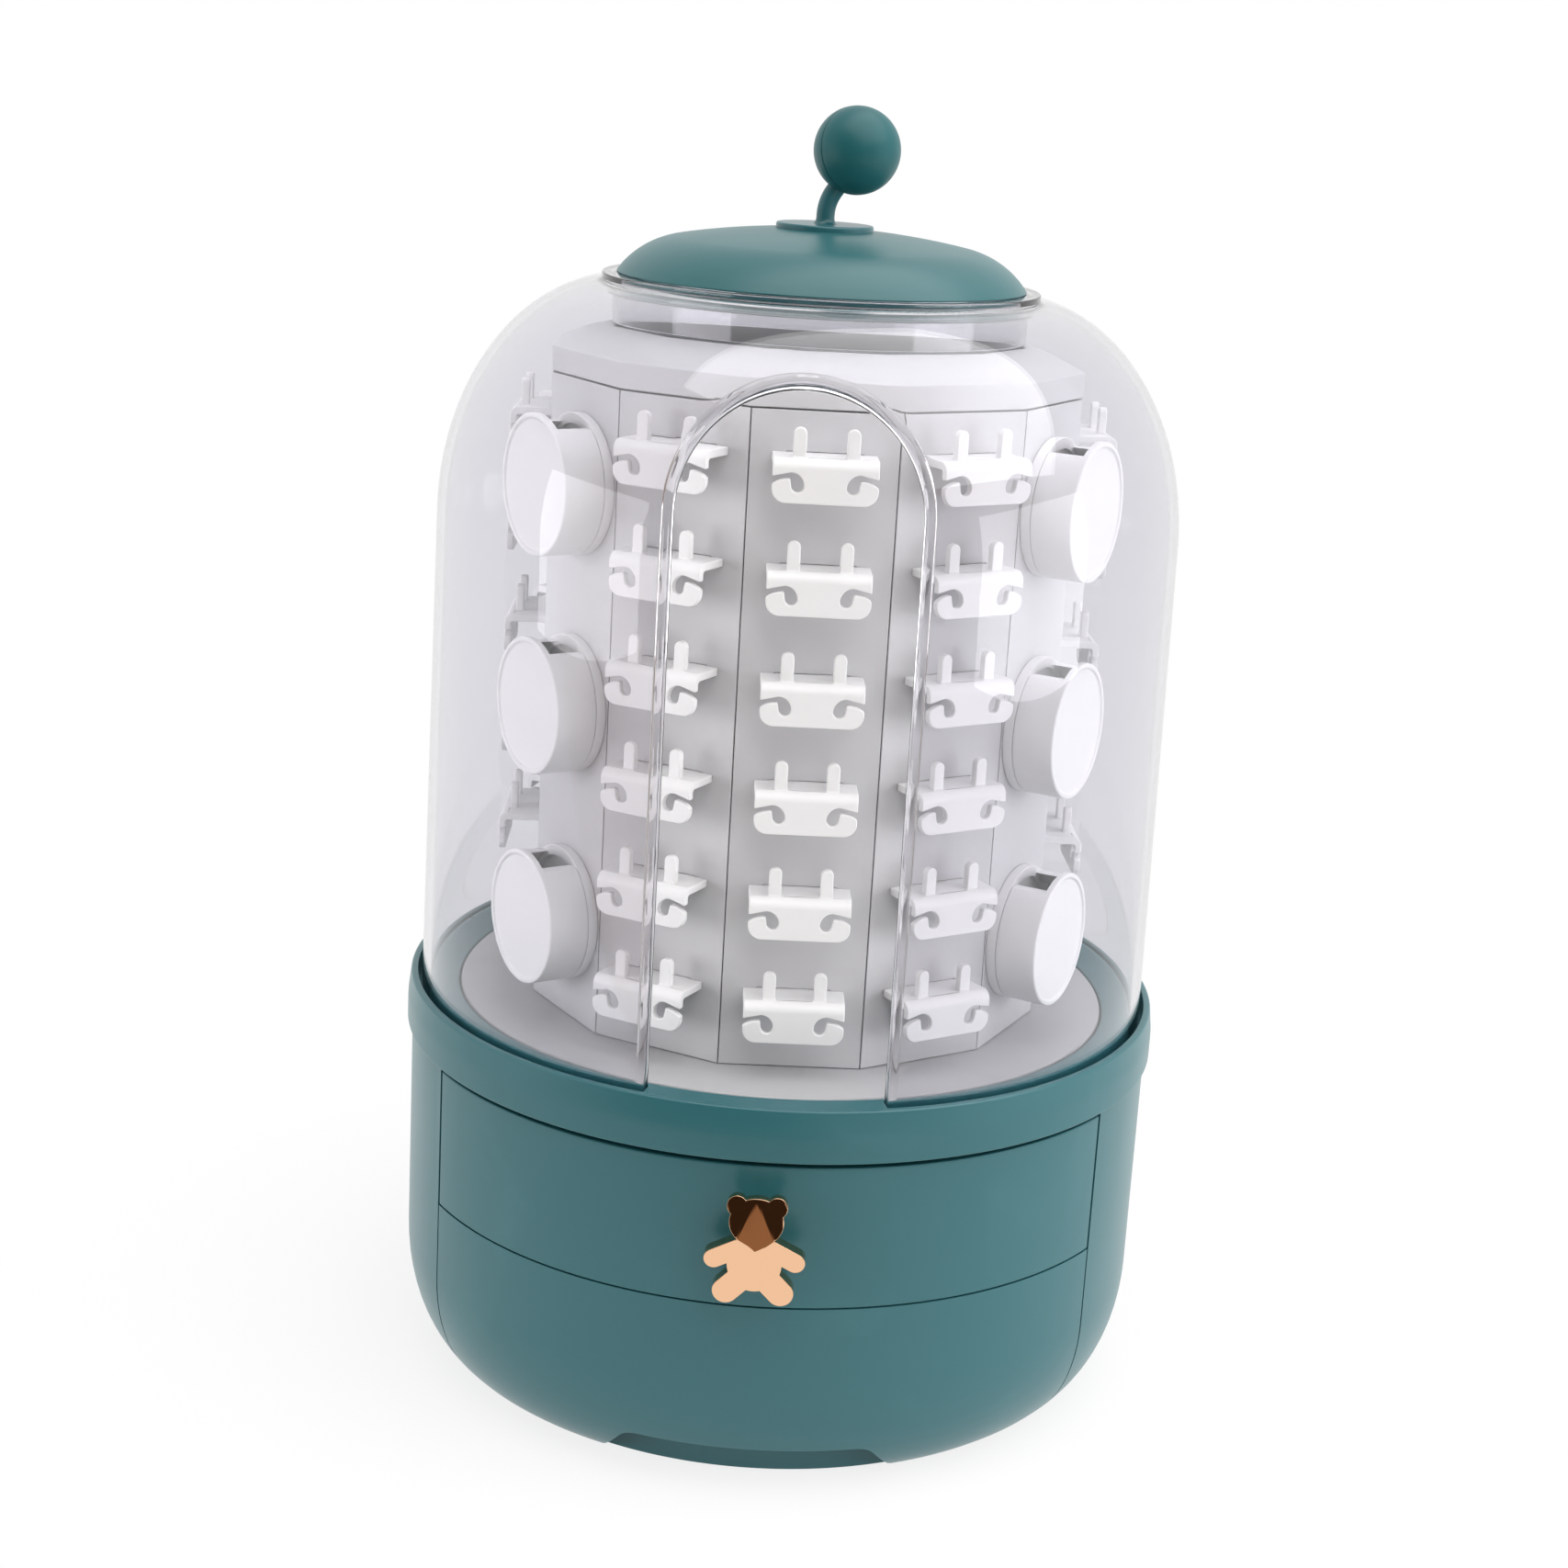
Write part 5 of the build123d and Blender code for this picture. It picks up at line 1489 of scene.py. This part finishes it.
def makeFloor():
    s = studio
    side, front, back, bend = s["floorSide"], s["floorFront"], s["floorBack"], s["floorBend"]
    turns = [radians(9 * k) for k in range(11)]
    line = [(front, 0.0)] + [(back + bend * sin(t), bend - bend * cos(t)) for t in turns]
    line.append((back + bend, s["wallTop"]))
    points = [(x * side, y, z) for x in (-1, 1) for y, z in line]
    count = len(line)
    faces = [[k, k + 1, count + k + 1, count + k] for k in range(count - 1)]
    left, near = s["tableLeft"], s["tableFront"]
    points += [(left, front, 0), (side, front, 0), (side, near, 0), (left, near, 0)]
    faces.append([2 * count + k for k in range(4)])
    mesh = bpy.data.meshes.new("paleFloor")
    mesh.from_pydata([Vector(p) for p in points], [], faces)
    mesh.polygons.foreach_set("use_smooth", [True] * len(mesh.polygons))
    floor = addObject("paleFloor", mesh)
    tone = (s["floorTone"],) * 3
    finish, tree, shader = newFinish("paleFloor", tone, 0.9, Specular_IOR_Level=0.0)
    where = wire(tree, "ShaderNodeTexCoord", {}).outputs["Object"]
    away = wire(tree, "ShaderNodeVectorMath", {0: where}, operation="LENGTH").outputs["Value"]
    start, end = s["shade"]
    inputs = {"Value": away, "From Min": start, "From Max": end, "To Min": s["nearShare"]}
    share = wire(tree, "ShaderNodeMapRange", inputs).outputs["Result"]
    glow = wire(tree, "ShaderNodeEmission", {"Color": (1, 1, 1, 1), "Strength": 1.0})
    share = calculate(tree, "MULTIPLY", seenShare(tree), share)
    inputs = {0: share, 1: shader.outputs[0], 2: glow.outputs[0]}
    mix = wire(tree, "ShaderNodeMixShader", inputs).outputs[0]
    tree.links.new(mix, tree.nodes["Material Output"].inputs["Surface"])
    mesh.materials.append(finish)


def makeWorld():
    # a white tent that is darker on the camera's side
    s = studio
    world = bpy.data.worlds.new("whiteTent")
    bpy.context.scene.world = world
    world.use_nodes = True
    tree = world.node_tree
    light = tree.nodes["Background"].inputs
    way = wire(tree, "ShaderNodeTexCoord", {}).outputs["Generated"]
    way = wire(tree, "ShaderNodeSeparateXYZ", {0: way}).outputs

    def band(value, start, end, low=0.0, high=1.0):
        inputs = {"Value": value, "From Min": start, "From Max": end, "To Min": low, "To Max": high}
        return wire(tree, "ShaderNodeMapRange", inputs).outputs["Result"]

    dark = band(way["Z"], *s["darkLevels"], s["darkLow"], s["darkHigh"])
    side = band(way["Y"], *s["darkSide"])
    # straight from the camera, through the dome or not, the tent is plain white
    rays = wire(tree, "ShaderNodeLightPath", {}).outputs
    turns = calculate(tree, "SUBTRACT", rays["Ray Depth"], rays["Transmission Depth"])
    side = calculate(tree, "MAXIMUM", side, calculate(tree, "LESS_THAN", turns, 1.5))
    room = band(side, 0.0, 1.0, dark)
    more = calculate(tree, "MULTIPLY", seenShare(tree), 1.0 - s["worldOnPart"])
    strength = calculate(tree, "ADD", more, s["worldOnPart"])
    tree.links.new(calculate(tree, "MULTIPLY", strength, room), light["Strength"])
    inputs = {0: side, 6: (*s["darkTone"], 1), 7: (1, 1, 1, 1)}
    tone = wire(tree, "ShaderNodeMix", inputs, data_type="RGBA").outputs[2]
    tree.links.new(tone, light["Color"])


def makeLamp(name):
    values = studio[name]
    lamp = bpy.data.lights.new(name + "Softbox", "AREA")
    lamp.shape = "RECTANGLE"
    lamp.size, lamp.size_y = values["size"]
    lamp.energy = values["power"]
    thing = bpy.data.objects.new(name + "Softbox", lamp)
    bpy.context.scene.collection.objects.link(thing)
    spot = Vector(values["place"])
    thing.location = spot
    thing.rotation_euler = (Vector(studio["aim"]) - spot).to_track_quat("-Z", "Y").to_euler()
    thing.visible_glossy = name in studio["mirrored"]


shot = {
    "place": (15.75, -690.8, 349.0),
    "turn": -0.0261,
    "fall": 0.2682,
    "roll": 0.0572,
    "lens": 60.85,
}


def makeCamera():
    data = bpy.data.cameras.new("photoCamera")
    data.sensor_width = 36.0
    data.lens = shot["lens"]
    data.clip_start, data.clip_end = 0.02, 50.0
    camera = bpy.data.objects.new("photoCamera", data)
    bpy.context.scene.collection.objects.link(camera)
    turn, fall, roll = shot["turn"], shot["fall"], shot["roll"]
    ahead = Vector((sin(turn) * cos(fall), cos(turn) * cos(fall), -sin(fall)))
    level = ahead.cross(Vector((0, 0, 1))).normalized()
    over = level.cross(ahead)
    right = level * cos(roll) + over * sin(roll)
    above = over * cos(roll) - level * sin(roll)
    lay = Matrix((right, above, -ahead)).transposed()
    camera.matrix_world = Matrix.Translation(Vector(shot["place"]) * mm) @ lay.to_4x4()
    bpy.context.scene.camera = camera


makeFloor()
makeWorld()
for name in ("key", "left", "right"):
    makeLamp(name)
makeCamera()
bpy.context.scene.view_settings.view_transform = "Standard"
print("stage, lights and camera made")
